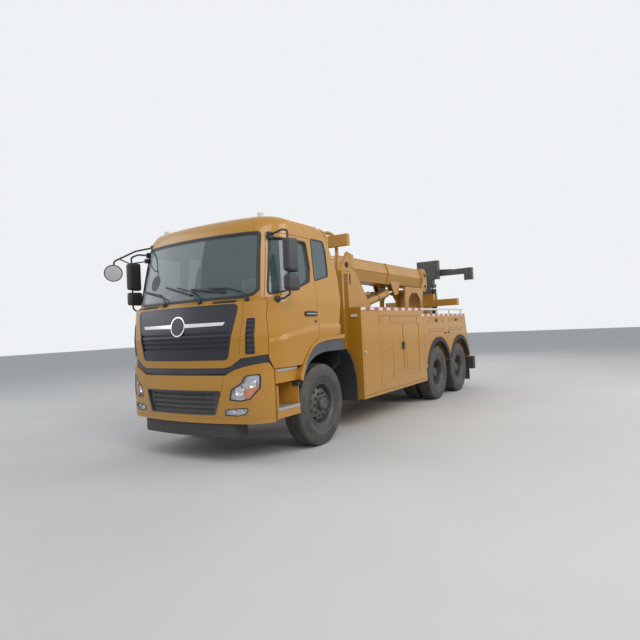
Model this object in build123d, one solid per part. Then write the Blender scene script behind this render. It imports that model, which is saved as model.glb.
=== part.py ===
# Three-axle tow truck: tilting cab, side lockers, luffing crane boom and folding rear underlift.
# Lengths are in millimetres. The front points along -Y, the vehicle's left is +X and +Z is up.
# Places along the truck are measured from the front axle; origin_back moves the finished
# pieces so that the origin lies on the ground under the middle of the overall length.

from build123d import *
from math import cos, radians, sin
import os

# Overall places along the truck, from the front axle
origin_back = 3080
axle_2_y = 4350
axle_3_y = 5700

# Gaps
panel_gap = 5
fit_gap = 0.3
seat_gap = 0.3

# Tyres and wheels
tyre_radius = 542
tyre_width = 290
tyre_shoulder = 38
rim_radius = 283
rim_wall = 10
front_tyre_x = 1043
rear_outer_x = 1072
twin_spacing = 335
drum_radius = 205
hub_radius = 105
front_hub_face = 1175
nut_circle = 150

# Front axle and steering
kingpin_x = 905
kingpin_radius = 20
knuckle_radius = 46
beam_height = 110
beam_width = 90
beam_drop = 110
stub_radius = 36

# Chassis rails
rail_outer = 430
rail_flange = 80
rail_wall = 12
rail_bottom = 750
rail_top = 1050
rail_front = -1130
rail_rear = 6560
cross_members = [-1050, 1250, 2300, 3400, 5025, 6400]

# Engine
engine_half = 320
engine_front = -740
engine_rear = 540
engine_bottom = 640
engine_top = 1430

# Cab outline
cab_half = 1240
cab_bow = 3580
cab_corner = 455
rear_corner = 45
cab_bottom = 1110
cab_wall = 60
cab_pivot_y = -1325
cab_pivot_z = 1092
cab_pin_radius = 15
tunnel_half = 420
tunnel_top = 1500
tunnel_front = -830
tunnel_wall = 30

# Doors of the cab
door_bottom = 1105
door_hinge_x = 1165
door_hinge_y = -1090
window_depth = 8
dash_half = 1070
grille_depth = 45
grille_border = 34
slat_pitch = 56
slat_height = 24

# Bumper
bumper_front = -1405
bumper_bottom = 490
bumper_top = 1050
bumper_wall = 50
bumper_rear = -1045

# Side lockers
body_half = 1250
body_inner = 600
body_front = 1050
body_bottom = 455
body_top = 1840
low_top = 1730
step_down_y = 3450
body_wall = 40
arch_radius = 700
rear_top_y = 6140
rear_low_y = 6380
hinge_radius = 10
hinge_length = 90
press_depth = 4
lip_inner = 635
lip_outer = 722
lip_proud = 12
rail_inset = 30
rail_width = 30
rail_lift = 76
rail_height = 36

# Deck, mast and boom
deck_top = 1160
mast_half = 490
mast_plate = 40
mast_front = 2050
boom_pivot_y = 2010
boom_pivot_z = 2626
boom_pin = 45
boom_start = 2240
boom_end = 6150
boom_half = 250
boom_flat = 185
boom_bottom = 2430
boom_ridge = 2632
boom_top = 2840
boom_wall = 12
stage_gap = 6

# Headboard and hoops behind the cab
hoop_front = 800
hoop_rear = 1092
hoop_reach = 858
hoop_top = 3030
hoop_radius = 28

# Boom cylinders
cylinder_x = 165
cylinder_base_y = 2600
cylinder_base_z = 1830
cylinder_eye_y = 4620
cylinder_eye_z = 2300
barrel_radius = 72
barrel_length = 1720
rod_radius = 42
eye_radius = 62
eye_half = 34
base_pin = 30

# Underlift
column_half = 200
column_front = 6600
column_rear = 6900
column_top = 2270
slide_rear = 7085
fold_y = 7165
fold_z = 700
fold_pin = 40
arm_half = 150
arm_front = 7180
arm_rear = 7400
arm_top = 2560
inner_arm_gap = 6
ram_x = 320
ram_radius = 60
ram_bottom = 900
ram_top = 2420
arm_wall = 14
swing_pin = 45
fork_socket = 32
crossbar_half = 1100
claw_width = 200


def block(x0, x1, y0, y1, z0, z1):
    """Box between two corners."""
    centre = Pos((x0 + x1) / 2, (y0 + y1) / 2, (z0 + z1) / 2)
    return centre * Box(x1 - x0, y1 - y0, z1 - z0)


def outline(points, radius=0):
    """Flat closed face through the points, its corners rounded."""
    if radius:
        return make_face(FilletPolyline(*points, radius=radius, close=True))
    return make_face(Polyline(*points, close=True))


def across(face, x0, x1):
    """Side outline, drawn as (Y, Z), stretched across the truck."""
    return extrude(Plane.YZ.offset(x0) * face, x1 - x0)


def along(face, y0, y1):
    """Front outline, drawn as (X, Z), stretched along the truck."""
    return extrude(Plane.XZ.offset(-y1) * face, y1 - y0)


def upward(face, z0, z1):
    """Plan outline, drawn as (X, Y), stretched upward."""
    return extrude(Plane.XY.offset(z0) * face, z1 - z0)


def rod(start, end, radius):
    """Round bar between two points."""
    way = Vector(*end) - Vector(*start)
    return extrude(Plane(origin=start, z_dir=way) * Circle(radius), way.length)


def pipe(points, bend, radius):
    """Round tube or wire along straight runs joined by bends."""
    path = FilletPolyline(*points, radius=bend)
    return sweep(Plane(origin=path @ 0, z_dir=path % 0) * Circle(radius), path)


def mirrored(shape):
    """The same shape on the other side of the truck."""
    return mirror(shape, about=Plane.YZ)


def both(shape):
    return shape + mirrored(shape)


def plan_outline(half, front, rear, bow, corner):
    """Bowed front with round corners and straight sides, seen from above."""
    drop = bow - (bow ** 2 - half ** 2) ** 0.5
    front_arc = ThreePointArc((-half, front + drop), (0, front), (half, front + drop))
    sides = Polyline((half, front + drop), (half, rear), (-half, rear), (-half, front + drop))
    face = make_face([front_arc, *sides.edges()])
    corners = [v for v in face.vertices() if abs(v.Y - front - drop) < 1]
    face = fillet(corners, corner)
    return fillet([v for v in face.vertices() if abs(v.Y - rear) < 1], rear_corner)


pieces = {}


# Chassis frame: two channel rails, cross members, bumper and cab brackets
def chassis_rail():
    web = block(rail_outer - rail_wall, rail_outer, rail_front, rail_rear, rail_bottom, rail_top)
    inner = rail_outer - rail_flange
    low = block(inner, rail_outer, rail_front, rail_rear, rail_bottom, rail_bottom + rail_wall)
    high = block(inner, rail_outer, rail_front, rail_rear, rail_top - rail_wall, rail_top)
    return web + low + high


def cab_lug(x0, x1):
    """Front lug that carries the cab's tilting pin."""
    points = [
        (rail_front + 60, rail_bottom + 60),
        (rail_front + 60, rail_top),
        (cab_pivot_y + 40, cab_pivot_z + 28),
        (cab_pivot_y - 26, cab_pivot_z + 28),
        (cab_pivot_y - 26, cab_pivot_z - 22),
        (cab_pivot_y + 60, cab_pivot_z - 60),
        (cab_pivot_y + 90, rail_bottom + 60),
    ]
    return across(outline(points), x0, x1)


frame = both(chassis_rail())
for y in cross_members:
    frame += block(-rail_outer + rail_wall, rail_outer - rail_wall, y - 50, y + 50, 850, 990)
for y in (engine_front + 150, engine_rear - 150):
    frame += both(block(engine_half + seat_gap, rail_outer - rail_wall, y - 45, y + 45, 820, 910))
frame += both(cab_lug(rail_outer - 30, rail_outer))
bumper_bow = plan_outline(
    cab_half - bumper_wall, bumper_front + bumper_wall, 500, cab_bow, cab_corner - bumper_wall
)
bumper_arm = block(300, 420, -1500, rail_front + 40, 920, 990)
bumper_arm &= upward(offset(bumper_bow, -seat_gap), 0, 2000)
frame += both(bumper_arm)
frame += both(block(300, rail_outer - 5, rail_front, rail_front + 40, rail_bottom + 5, rail_top - 5))
pin_half = rail_outer + 60
frame += rod((-pin_half, cab_pivot_y, cab_pivot_z), (pin_half, cab_pivot_y, cab_pivot_z), cab_pin_radius)
pieces["chassis_frame"] = frame

pieces["engine_block"] = block(-engine_half, engine_half, engine_front, engine_rear, engine_bottom, engine_top)


# Front axle: drop beam, kingpin eyes and leaf springs
def spring_pack(x, y, z, half_length, leaves, width, thickness):
    """Leaf spring: stacked leaves, each shorter than the one above."""
    pack = None
    for n in range(leaves):
        half = half_length * (1 - 0.8 * n / leaves)
        top = z - n * thickness
        leaf = block(x - width / 2, x + width / 2, y - half, y + half, top - thickness, top)
        pack = leaf if pack is None else pack + leaf
    return pack


axle_z = tyre_radius
beam_end = kingpin_x - 70
beam_points = [
    (-kingpin_x, axle_z + beam_height / 2),
    (-beam_end, axle_z + beam_height / 2),
    (-beam_end + 150, axle_z + beam_height / 2 - beam_drop),
    (beam_end - 150, axle_z + beam_height / 2 - beam_drop),
    (beam_end, axle_z + beam_height / 2),
    (kingpin_x, axle_z + beam_height / 2),
    (kingpin_x, axle_z - beam_height / 2),
    (beam_end, axle_z - beam_height / 2),
    (beam_end - 130, axle_z - beam_height / 2 - beam_drop),
    (-beam_end + 130, axle_z - beam_height / 2 - beam_drop),
    (-beam_end, axle_z - beam_height / 2),
    (-kingpin_x, axle_z - beam_height / 2),
]
front_axle = along(outline(beam_points), -beam_width / 2, beam_width / 2)
eye = Pos(kingpin_x, 0, axle_z) * Cylinder(knuckle_radius, beam_height + 30)
front_axle += both(eye)
bore = Pos(kingpin_x, 0, axle_z) * Cylinder(kingpin_radius + fit_gap, 400)
front_axle -= both(bore)
spring_top = rail_bottom - 60
spring_x = rail_outer - rail_flange / 2
springs = spring_pack(spring_x, 0, spring_top, 700, 5, 80, 18)
seat_low = axle_z + beam_height / 2 - beam_drop
springs += block(spring_x - 50, spring_x + 50, -80, 80, seat_low, spring_top - 5 * 18)
springs += block(spring_x - 40, spring_x + 40, -700, -640, spring_top, rail_bottom)
springs += block(spring_x - 40, spring_x + 40, 640, 700, spring_top, rail_bottom)
front_axle += both(springs)
pieces["front_axle"] = front_axle


# Steering knuckle: forked body on its kingpin, with the stub axle
fork_gap = 6
fork_low = axle_z - beam_height / 2 - 15 - fork_gap
fork_high = axle_z + beam_height / 2 + 15 + fork_gap
knuckle = Pos(kingpin_x, 0, axle_z) * Cylinder(kingpin_radius, fork_high - fork_low + 90)
for z0, z1 in [(fork_low - 40, fork_low), (fork_high, fork_high + 40)]:
    knuckle += Pos(kingpin_x, 0, (z0 + z1) / 2) * Cylinder(knuckle_radius, z1 - z0)
    knuckle += block(kingpin_x, kingpin_x + 80, -knuckle_radius, knuckle_radius, z0, z1)
web_x = kingpin_x + knuckle_radius + 8
knuckle += block(web_x, web_x + 30, -knuckle_radius, knuckle_radius, fork_low - 40, fork_high + 40)
knuckle += rod((web_x, 0, axle_z), (front_hub_face - 60, 0, axle_z), stub_radius)
pieces["knuckle_left"] = knuckle
pieces["knuckle_right"] = mirrored(knuckle)


# Wheels: tyre with rounded shoulders on a dished steel rim
def revolve_x(points, radius=0):
    """Ring turned about the X axis from an outline drawn as (X, radius)."""
    return revolve(Plane.XZ * outline(points, radius), Axis.X)


def tyre(x):
    half = tyre_width / 2
    bead = half - 30
    section = [
        (x - bead, rim_radius),
        (x - half, rim_radius + 70),
        (x - half, tyre_radius - 110),
        (x - half + 14, tyre_radius - tyre_shoulder),
        (x - half + 44, tyre_radius - 5),
        (x, tyre_radius),
        (x + half - 44, tyre_radius - 5),
        (x + half - 14, tyre_radius - tyre_shoulder),
        (x + half, tyre_radius - 110),
        (x + half, rim_radius + 70),
        (x + bead, rim_radius),
    ]
    return revolve_x(section)


def rim(x, disc_x, sign):
    """Rim barrel with its disc at disc_x; sign is the way the dish opens."""
    bead = tyre_width / 2 - 32
    outer = rim_radius - seat_gap
    barrel = [
        (x - bead, outer - 34),
        (x - bead, outer),
        (x + bead, outer),
        (x + bead, outer - 34),
    ]
    hollow = [
        (x - bead - 1, 0),
        (x - bead - 1, outer - rim_wall - 22),
        (x + bead + 1, outer - rim_wall - 22),
        (x + bead + 1, 0),
    ]
    disc = [
        (disc_x, hub_radius - 15),
        (disc_x, 185),
        (disc_x - sign * 45, outer - rim_wall - 18),
        (disc_x - sign * 60, outer - rim_wall - 18),
        (disc_x - sign * 14, 180),
        (disc_x - sign * 14, hub_radius - 15),
    ]
    return revolve_x(barrel) - revolve_x(hollow) + revolve_x(disc)


def wheel_nuts(x0, x1):
    nuts = None
    for n in range(10):
        turn = radians(36 * n)
        y = nut_circle * cos(turn)
        z = nut_circle * sin(turn)
        nut = rod((x0, y, z), (x1, y, z), 17)
        nuts = nut if nuts is None else nuts + nut
    return nuts


def front_wheel():
    disc_x = front_tyre_x + 45
    part = rim(front_tyre_x, disc_x, 1)
    part += wheel_nuts(disc_x - 5, disc_x + 30)
    hub = rod((disc_x - 60, 0, 0), (front_hub_face, 0, 0), hub_radius - 10)
    drum = rod((web_x + 40, 0, 0), (disc_x - 10, 0, 0), drum_radius)
    part += hub + drum
    part -= rod((web_x + 30, 0, 0), (front_hub_face - 50, 0, 0), stub_radius + fit_gap)
    return part


def rear_wheel():
    outer_x = rear_outer_x
    inner_x = rear_outer_x - twin_spacing
    disc_x = (outer_x + inner_x) / 2 + 12
    part = rim(outer_x, disc_x, -1)
    part += rim(inner_x, disc_x - 14, 1)
    part += wheel_nuts(disc_x - 2, disc_x + 34)
    part += rod((inner_x - 120, 0, 0), (disc_x, 0, 0), drum_radius)
    part += rod((disc_x - 20, 0, 0), (outer_x + 70, 0, 0), hub_radius)
    part -= rod((inner_x - 140, 0, 0), (outer_x + 20, 0, 0), 60 + fit_gap)
    return part


stations = [
    # name, place along the truck, twin
    ("front", 0, False),
    ("middle", axle_2_y, True),
    ("rear", axle_3_y, True),
]
for name, y, twin in stations:
    place = Pos(0, y, axle_z)
    if twin:
        rubber = tyre(rear_outer_x) + tyre(rear_outer_x - twin_spacing)
        metal = rear_wheel()
    else:
        rubber = tyre(front_tyre_x)
        metal = front_wheel()
    if twin:
        pieces[f"twin_wheel_{name}_left"] = place * (rubber + metal)
        pieces[f"twin_wheel_{name}_right"] = mirrored(place * (rubber + metal))
    else:
        pieces[f"tyre_{name}_left"] = place * rubber
        pieces[f"tyre_{name}_right"] = mirrored(place * rubber)
        pieces[f"wheel_{name}_left"] = place * metal
        pieces[f"wheel_{name}_right"] = mirrored(place * metal)


# Rear bogie: two axle housings, walking springs and their trunnion
def axle_housing(y):
    tube_end = rear_outer_x - twin_spacing - 125
    spindle_end = rear_outer_x + 15
    tube = rod((-tube_end, y, axle_z), (tube_end, y, axle_z), 75)
    spindle = rod((-spindle_end, y, axle_z), (spindle_end, y, axle_z), 60)
    bowl = Pos(0, y, axle_z) * Sphere(210)
    nose = rod((0, y - 330, axle_z + 40), (0, y, axle_z + 40), 90)
    return tube + spindle + bowl + nose


middle_y = (axle_2_y + axle_3_y) / 2
bogie = axle_housing(axle_2_y) + axle_housing(axle_3_y)
pack = None
for n in range(6):
    half = 675 * (1 - 0.13 * n)
    low = axle_z + 75 + n * 20
    leaf = block(spring_x - 45, spring_x + 45, middle_y - half, middle_y + half, low, low + 20)
    pack = leaf if pack is None else pack + leaf
hanger = block(spring_x - 45, spring_x + 40, middle_y - 130, middle_y + 130, axle_z + 60, rail_bottom)
for y in (axle_2_y, axle_3_y):
    pack += block(spring_x - 45, spring_x + 45, y - 90, y + 90, axle_z, axle_z + 90)
bogie += both(pack + hanger)
bogie += rod((-spring_x - 45, middle_y, axle_z + 40), (spring_x + 45, middle_y, axle_z + 40), 55)
pieces["rear_bogie"] = bogie


# Cab: its outside runs through plan outlines drawn at several heights
cab_levels = [
    # height, front, rear, half width, corner radius
    (cab_bottom, -1376, 405, 1222, 455),
    (1500, -1392, 420, 1240, 455),
    (1895, -1345, 500, 1240, 455),
    (1942, -1262, 505, 1238, 440),
    (2380, -1175, 482, 1190, 420),
    (2755, -1085, 340, 1142, 400),
    (2905, -1000, 200, 1110, 360),
    (2962, -900, 90, 1030, 300),
    (2990, -700, -120, 850, 250),
]
roof_level = 2900


def cab_solid(inset, floor=True):
    """Cab outside, or the same form drawn in evenly; without its floor it is open below."""
    sections = []
    for height, front, rear, half, corner in cab_levels:
        face = plan_outline(half, front, rear, cab_bow, corner)
        if inset:
            face = offset(face, -inset, kind=Kind.INTERSECTION)
        if height > roof_level:
            height -= inset
        if height == cab_bottom:
            height += inset if floor else -200
        sections.append(Plane.XY.offset(height) * face)
    return loft(sections, ruled=True)


arch_points = [
    (-625, 1000),
    (-520, 1110),
    (-320, 1335),
    (-70, 1415),
    (470, 1452),
    (700, 1452),
    (700, 900),
    (-625, 900),
]
door_points = [
    (-1040, door_bottom),
    (-1088, 1240),
    (-1088, 1720),
    (-890, 2735),
    (-98, 2735),
    (-130, 2200),
    (-130, 1530),
    (-160, 1425),
    (-366, 1302),
    (-475, 1189),
    (-552, door_bottom),
]
window_points = [
    (-1000, 1975),
    (-1000, 2040),
    (-868, 2675),
    (-215, 2675),
    (-205, 2330),
    (-255, 2150),
    (-509, 2067),
]
quarter_points = [(-138, 2165), (-85, 2735), (215, 2735), (245, 2600), (222, 2250)]
screen_points = [
    (-1046, 2030),
    (-990, 2741),
    (990, 2741),
    (1046, 2030),
    (985, 1975),
    (830, 1952),
    (-830, 1952),
    (-985, 1975),
]
grille_points = [(-885, 1882), (885, 1882), (735, 1226), (-735, 1226)]
lower_front_points = [
    (-1, 1000),
    (-1, 1136),
    (680, 1136),
    (775, 1160),
    (900, 1245),
    (1145, 1275),
    (1400, 1290),
    (1400, 1000),
]
lower_side_points = [(-1500, 1000), (-1500, 1290), (-1110, 1290), (-1035, door_bottom), (-1035, 1000)]

outer = cab_solid(0)
door_core = cab_solid(cab_wall, floor=False)
inner = door_core & block(-1500, 1500, -1600, 800, cab_bottom + cab_wall, 3200)
frame_core = cab_solid(cab_wall + panel_gap, floor=False)


def side_zone(points, radius=0, margin=0):
    """Side outline as a cutter for the left wall, its edges drawn in by the margin."""
    face = outline(points, radius)
    if margin:
        face = offset(face, -margin, kind=Kind.INTERSECTION)
    return across(face, 850, 1400)


def front_zone(points, radius=0, margin=0):
    """Front outline as a cutter for the front wall."""
    face = outline(points, radius)
    if margin:
        face = offset(face, -margin, kind=Kind.INTERSECTION)
    return along(face, -1700, -700)


arch_cut = across(outline(arch_points), 610, 1400)
arch_wall = across(offset(outline(arch_points), 30, kind=Kind.INTERSECTION), 580, 1400)
rear_points = [
    (-620, 2000),
    (-620, 2340),
    (-580, 2380),
    (580, 2380),
    (620, 2340),
    (620, 2000),
    (580, 1960),
    (-580, 1960),
]
shell = outer - inner - along(outline(rear_points), 200, 900)
shell += both(arch_wall) & outer
tunnel_side = tunnel_half + tunnel_wall
tunnel = block(
    -tunnel_side, tunnel_side, tunnel_front - tunnel_wall, 900, cab_bottom, tunnel_top + tunnel_wall
)
tunnel += block(-850, 850, -620, 900, tunnel_top - 20, tunnel_top + tunnel_wall)
shell += tunnel & outer
shell -= block(-tunnel_half, tunnel_half, tunnel_front, 900, cab_bottom - 50, tunnel_top)
shell -= both(arch_cut)
shell -= both(side_zone(door_points) - frame_core)
shell -= both(side_zone(quarter_points, 45))
shell -= front_zone(screen_points, 45)
shell -= front_zone(grille_points, 70) - cab_solid(grille_depth)
shell -= both(along(outline(lower_front_points), -1700, -1110) & block(-10, 1400, -1700, -1035, 900, 1400))
shell -= both(across(outline(lower_side_points), 1000, 1400))
lug = across(
    outline(
        [
            (cab_pivot_y - 26, cab_pivot_z - 20),
            (cab_pivot_y - 26, 1150),
            (cab_pivot_y + 130, 1150),
            (cab_pivot_y + 26, cab_pivot_z - 26),
            (cab_pivot_y - 14, cab_pivot_z - 26),
        ]
    ),
    rail_outer + panel_gap,
    rail_outer + 45,
)
shell += both(lug)
shell -= rod((-700, cab_pivot_y, cab_pivot_z), (700, cab_pivot_y, cab_pivot_z), cab_pin_radius + fit_gap)
sill = across(outline([(-1030, 930), (-1030, 1104), (-580, 1104), (-590, 930)]), 1030, 1205)
sill -= across(outline([(-1010, 900), (-1010, 1085), (-605, 1085), (-612, 900)]), 900, 1190)
sill += block(1030, 1080, -1010, -600, 1090, cab_bottom + 5)
shell += both(sill)


def door_hinges(radius, margin):
    """Barrels on the door's hinge line, in the seam between the door and the front pillar."""
    barrels = None
    for low, high in [(1290, 1380), (1600, 1690)]:
        start = (door_hinge_x, door_hinge_y, low - margin)
        barrel = rod(start, (door_hinge_x, door_hinge_y, high + margin), radius)
        barrels = barrel if barrels is None else barrels + barrel
    return barrels


def air_vent():
    """Pocket in the corner panel beside the grille, with slats across it."""
    face = outline([(958, 1290), (1050, 1290), (1062, 1700), (984, 1700)])
    pocket = along(face, -1700, -900) & (outer - cab_solid(14))
    slats = None
    for n in range(7):
        slat = block(900, 1100, -1700, -900, 1322 + n * slat_pitch, 1322 + n * slat_pitch + slat_height)
        slats = slat if slats is None else slats + slat
    return pocket - (slats & cab_solid(3))


shell -= both(door_hinges(hinge_radius + seat_gap, seat_gap))
shell -= both(air_vent())
pieces["cab_shell"] = shell

skin = outer - cab_solid(window_depth)
deep_skin = cab_solid(20) - cab_solid(20 + window_depth)
screen = skin & front_zone(screen_points, 45, seat_gap)
quarters = both(skin & side_zone(quarter_points, 45, seat_gap))
back_pane = along(offset(outline(rear_points), -seat_gap, kind=Kind.INTERSECTION), 200, 900)
pieces["cab_glass"] = screen + quarters + (deep_skin & back_pane)

# Grille: bordered panel with rows of slats, a bare ring and a bar to each side of it
ring_z = 1640
bar_z = 1664
grille_core = cab_solid(grille_depth - seat_gap)
grille_floor = cab_solid(16)
grille = (outer - grille_core) & front_zone(grille_points, 70, 2)
field = front_zone(grille_points, 70, grille_border)
slats = None
for n in range(10):
    z = 1280 + n * slat_pitch
    slat = block(-900, 900, -1700, -1000, z, z + slat_height)
    slats = slat if slats is None else slats + slat
slats += block(-715, 715, -1700, -1000, bar_z - 15, bar_z + 15)
slats += along(Pos(0, ring_z) * Circle(98), -1700, -1000)
grille -= field & (outer - grille_floor) - (slats & cab_solid(3))
grille -= along(Pos(0, ring_z) * Circle(74), -1700, -1000) & (outer - cab_solid(8))
pieces["grille_panel"] = grille

door = (outer - door_core) & side_zone(door_points, 0, panel_gap)
door -= side_zone(window_points, 45)
handle = block(1225, 1262, -425, -165, 1718, 1758) - block(1200, 1246, -400, -190, 1700, 1780)
door += handle
door += door_hinges(hinge_radius, 0) & outer
pieces["door_left"] = door
pieces["door_right"] = mirrored(door)
pane = deep_skin & side_zone(window_points, 45, seat_gap)
pieces["door_glass_left"] = pane
pieces["door_glass_right"] = mirrored(pane)


# Mirrors on the doors: two heads on one bracket
def door_mirror():
    big = upward(outline([(1345, -1010), (1465, -1010), (1465, -800), (1345, -830)], 25), 2215, 2620)
    small = upward(outline([(1345, -1010), (1465, -1010), (1465, -790), (1345, -830)], 25), 2000, 2195)
    post = rod((1400, -940, 1950), (1400, -940, 2690), 12)
    arm_top = pipe([(1040, -850, 2700), (1300, -900, 2730), (1400, -940, 2700), (1400, -940, 2600)], 30, 14)
    arm_low = pipe([(1190, -930, 1915), (1320, -950, 1915), (1400, -940, 1960), (1400, -940, 2020)], 25, 14)
    return big + small + post + arm_top + arm_low


mirror_part = door_mirror() - outer
pieces["mirror_left"] = mirror_part.solids().sort_by(SortBy.VOLUME)[-1]
pieces["mirror_right"] = mirrored(pieces["mirror_left"])

look_down_line = [(-930, -900, 2800), (-1100, -1120, 2720), (-1300, -1320, 2580), (-1300, -1320, 2430)]
look_down = pipe(look_down_line, 30, 12)
look_down += Pos(-1300, -1320, 2440) * Sphere(80) & block(-1400, -1200, -1450, -1200, 2340, 2440)
look_down = (look_down - outer).solids().sort_by(SortBy.VOLUME)[-1]

# Roof lamps and wipers
lamps = Pos(855, -730, 0) * upward(Circle(45), 2960, 3020)
pieces["roof_lamps"] = both(lamps) - outer


def wiper_line(x, z):
    """Place along the truck just in front of the windscreen."""
    slope = (cab_levels[3][1] - cab_levels[5][1]) / (cab_levels[5][0] - cab_levels[3][0])
    front = cab_levels[3][1] - slope * (z - cab_levels[3][0])
    return front + cab_bow - (cab_bow ** 2 - x ** 2) ** 0.5 - 11


def wiper(x, reach):
    foot = (x, wiper_line(x, 1930), 1930)
    tip = (x - reach * 0.9, wiper_line(x - reach * 0.9, 2170), 2170)
    return rod(foot, tip, 9)


wipers = None
for x, reach in [(-267, 719), (320, 738), (930, 837)]:
    blade = wiper(x, reach)
    wipers = blade if wipers is None else wipers + blade
pieces["cab_trim"] = (wipers - outer) + look_down


# Cab interior: seats, dashboard and steering wheel
def seat(x):
    cushion = block(x - 240, x + 240, -560, -40, 1560, 1680)
    back_points = [(-100, 1680 + seat_gap), (-10, 1680 + seat_gap), (130, 2300), (40, 2320)]
    back = across(outline(back_points, 20), x - 230, x + 230)
    base = block(x - 180, x + 180, -480, -100, tunnel_top + tunnel_wall + seat_gap, 1560)
    return cushion + back + base


seat_set = seat(590) + seat(-590)
pieces["seats"] = seat_set & inner
board = block(-dash_half, dash_half, -1250, -900, 1540, 1900) & cab_solid(cab_wall + seat_gap)
ring = Plane(origin=(590, -715, 1885), z_dir=(0, 160, 100)) * Torus(215, 16)
spoke = rod((590 - 205, -715, 1885), (590 + 205, -715, 1885), 12)
pieces["dashboard"] = board + rod((590, -920, 1755), (590, -715, 1885), 30) + ring + spoke

# Bumper, its grille, the lamps and the plate below
bumper_plan = plan_outline(cab_half, bumper_front, 0, cab_bow, cab_corner)
bumper_hollow = plan_outline(
    cab_half - bumper_wall, bumper_front + bumper_wall, 10, cab_bow, cab_corner - bumper_wall
)
bumper_full = upward(bumper_plan, bumper_bottom, 1240) - upward(bumper_hollow, bumper_bottom - 10, 1300)
bumper_full -= block(-1400, 1400, bumper_rear, 100, 0, 1400)
top_cut_points = [
    (-1, bumper_top),
    (700, bumper_top),
    (829, 1112),
    (951, 1148),
    (1130, 1180),
    (1400, 1180),
    (1400, 1400),
    (-1, 1400),
]
bumper_full -= both(along(outline(top_cut_points), -1700, 0))
side_slope = [(-1092, 1180), (-1034, 1080), (-1034, 1400), (-1092, 1400)]
bumper_full -= both(across(outline(side_slope), 1000, 1400))
mouth_points = [(-640, 868), (640, 868), (550, 592), (-550, 592)]
headlamp_points = [
    (755, 767),
    (782, 886),
    (915, 968),
    (936, 1022),
    (981, 1048),
    (1094, 1056),
    (1106, 1022),
    (1102, 895),
    (1003, 774),
    (895, 754),
]
fog_points = [(694, 591), (697, 646), (739, 661), (966, 675), (978, 647), (945, 602), (845, 583)]
mouth = along(outline(mouth_points, 20), -1700, -1000)
headlamp_hole = along(outline(headlamp_points), -1700, -1080)
fog_hole = along(outline(fog_points), -1700, -1080)
bumper = bumper_full - mouth - both(headlamp_hole + fog_hole)
pieces["bumper"] = bumper
lens_head = along(offset(outline(headlamp_points), -seat_gap, kind=Kind.INTERSECTION), -1700, -1080)
lens_fog = along(offset(outline(fog_points), -seat_gap, kind=Kind.INTERSECTION), -1700, -1080)
lens_plan = plan_outline(cab_half - 6, bumper_front + 6, 0, cab_bow, cab_corner - 6)
lens_zone = upward(lens_plan, 400, 1300) - upward(bumper_hollow, 300, 1400)
pieces["front_lamps"] = both((lens_head + lens_fog) & lens_zone)
mouth_zone = upward(offset(bumper_plan, -20), 400, 1300) - upward(bumper_hollow, 300, 1400)
trim = along(offset(outline(mouth_points, 20), -seat_gap), -1700, -1000) & mouth_zone
mouth_front = upward(offset(bumper_plan, -32), 400, 1300)
for n in range(4):
    slot = block(-520, 520, -1700, -1000, 640 + n * slat_pitch, 640 + n * slat_pitch + slat_height)
    trim -= slot - mouth_front
under = plan_outline(800, bumper_front + 20, -1000, cab_bow, 120)
underrun = upward(under, 330, bumper_bottom - seat_gap)
underrun -= block(-770, 770, -1290, -900, 355, bumper_bottom + 1)
strip_plan = plan_outline(cab_half - 12, bumper_front + 12, 0, cab_bow, cab_corner - 12)
strip = upward(strip_plan, bumper_top, bumper_top + 10) & block(-700, 700, -1500, -1362, 900, 1200)
trim += strip
trim += underrun - block(-900, 900, -1090, -900, 300, bumper_bottom + 1)
pieces["bumper_trim"] = trim


# Steps below the doors, on the chassis
def step_box():
    top = 900
    plan = [(1218, -1035), (1218, -580), (940, -650), (940, -1035)]
    body = upward(outline(plan), 520, 640)
    back = upward(outline([(960, -1035), (960, -648), (940, -653), (940, -1035)]), 630, top)
    riser = upward(outline([(1218, -1035), (1218, -1005), (940, -1005), (940, -1035)]), 630, top)
    arm = block(rail_outer, 950, -1000, -920, 770, 850)
    return body + back + riser + arm


pieces["steps"] = both(step_box())


# Rear halves of the front mudguards
def mudguard():
    curve = [
        (640, 1210),
        (735, 1130),
        (815, 1000),
        (880, 800),
        (900, 450),
        (925, 450),
        (905, 805),
        (838, 1013),
        (755, 1150),
        (655, 1235),
    ]
    guard = across(outline(curve), 900, 1215)
    stay = rod((rail_outer, 855, 910), (920, 855, 910), 22)
    return guard + stay


def arch_lip(y):
    """Lip around a rear wheel arch: a band inside the opening with a flange on the panel."""
    proud = body_half + seat_gap
    section = [
        (body_half - 60, lip_inner),
        (body_half - 60, arch_radius - seat_gap),
        (proud, arch_radius - seat_gap),
        (proud, lip_outer),
        (proud + lip_proud, lip_outer),
        (proud + lip_proud, lip_inner),
    ]
    ring = Pos(0, y, axle_z) * revolve_x(section)
    return ring & block(0, 1400, y - 800, y + 800, 760, 1400)


# Side lockers, with arches over the rear wheels and four doors on each side
lockers = [
    # name, front, rear, bottom, top of the opening, hinge side
    ("narrow", 1100, 1650, 500, 1785, "rear"),
    ("large", 1720, 3560, 500, 1705, "top"),
    ("upper_front", 3790, 4700, 1370, 1640, "bottom"),
    ("upper_rear", 4980, 5980, 1370, 1640, "bottom"),
]
pressings = {
    # front, rear, bottom, top of each panel pressed into the door
    "narrow": [],
    "large": [
        (2050, 3225, 1597, 1685),
        (2135, 2575, 790, 1570),
        (2685, 3290, 790, 1570),
        (2100, 3250, 665, 760),
    ],
    "upper_front": [(3830, 4660, 1395, 1440), (3830, 4150, 1560, 1610), (4340, 4660, 1560, 1610)],
    "upper_rear": [(5030, 5930, 1395, 1440), (5030, 5370, 1560, 1610), (5590, 5930, 1560, 1610)],
}
hollows = [
    # front, rear, bottom, top of the space behind the openings
    (1090, 1660, 495, 1800),
    (1705, 3590, 495, 1690),
    (3740, 4780, 1290, 1690),
    (4900, 6070, 1290, 1690),
]


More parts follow.
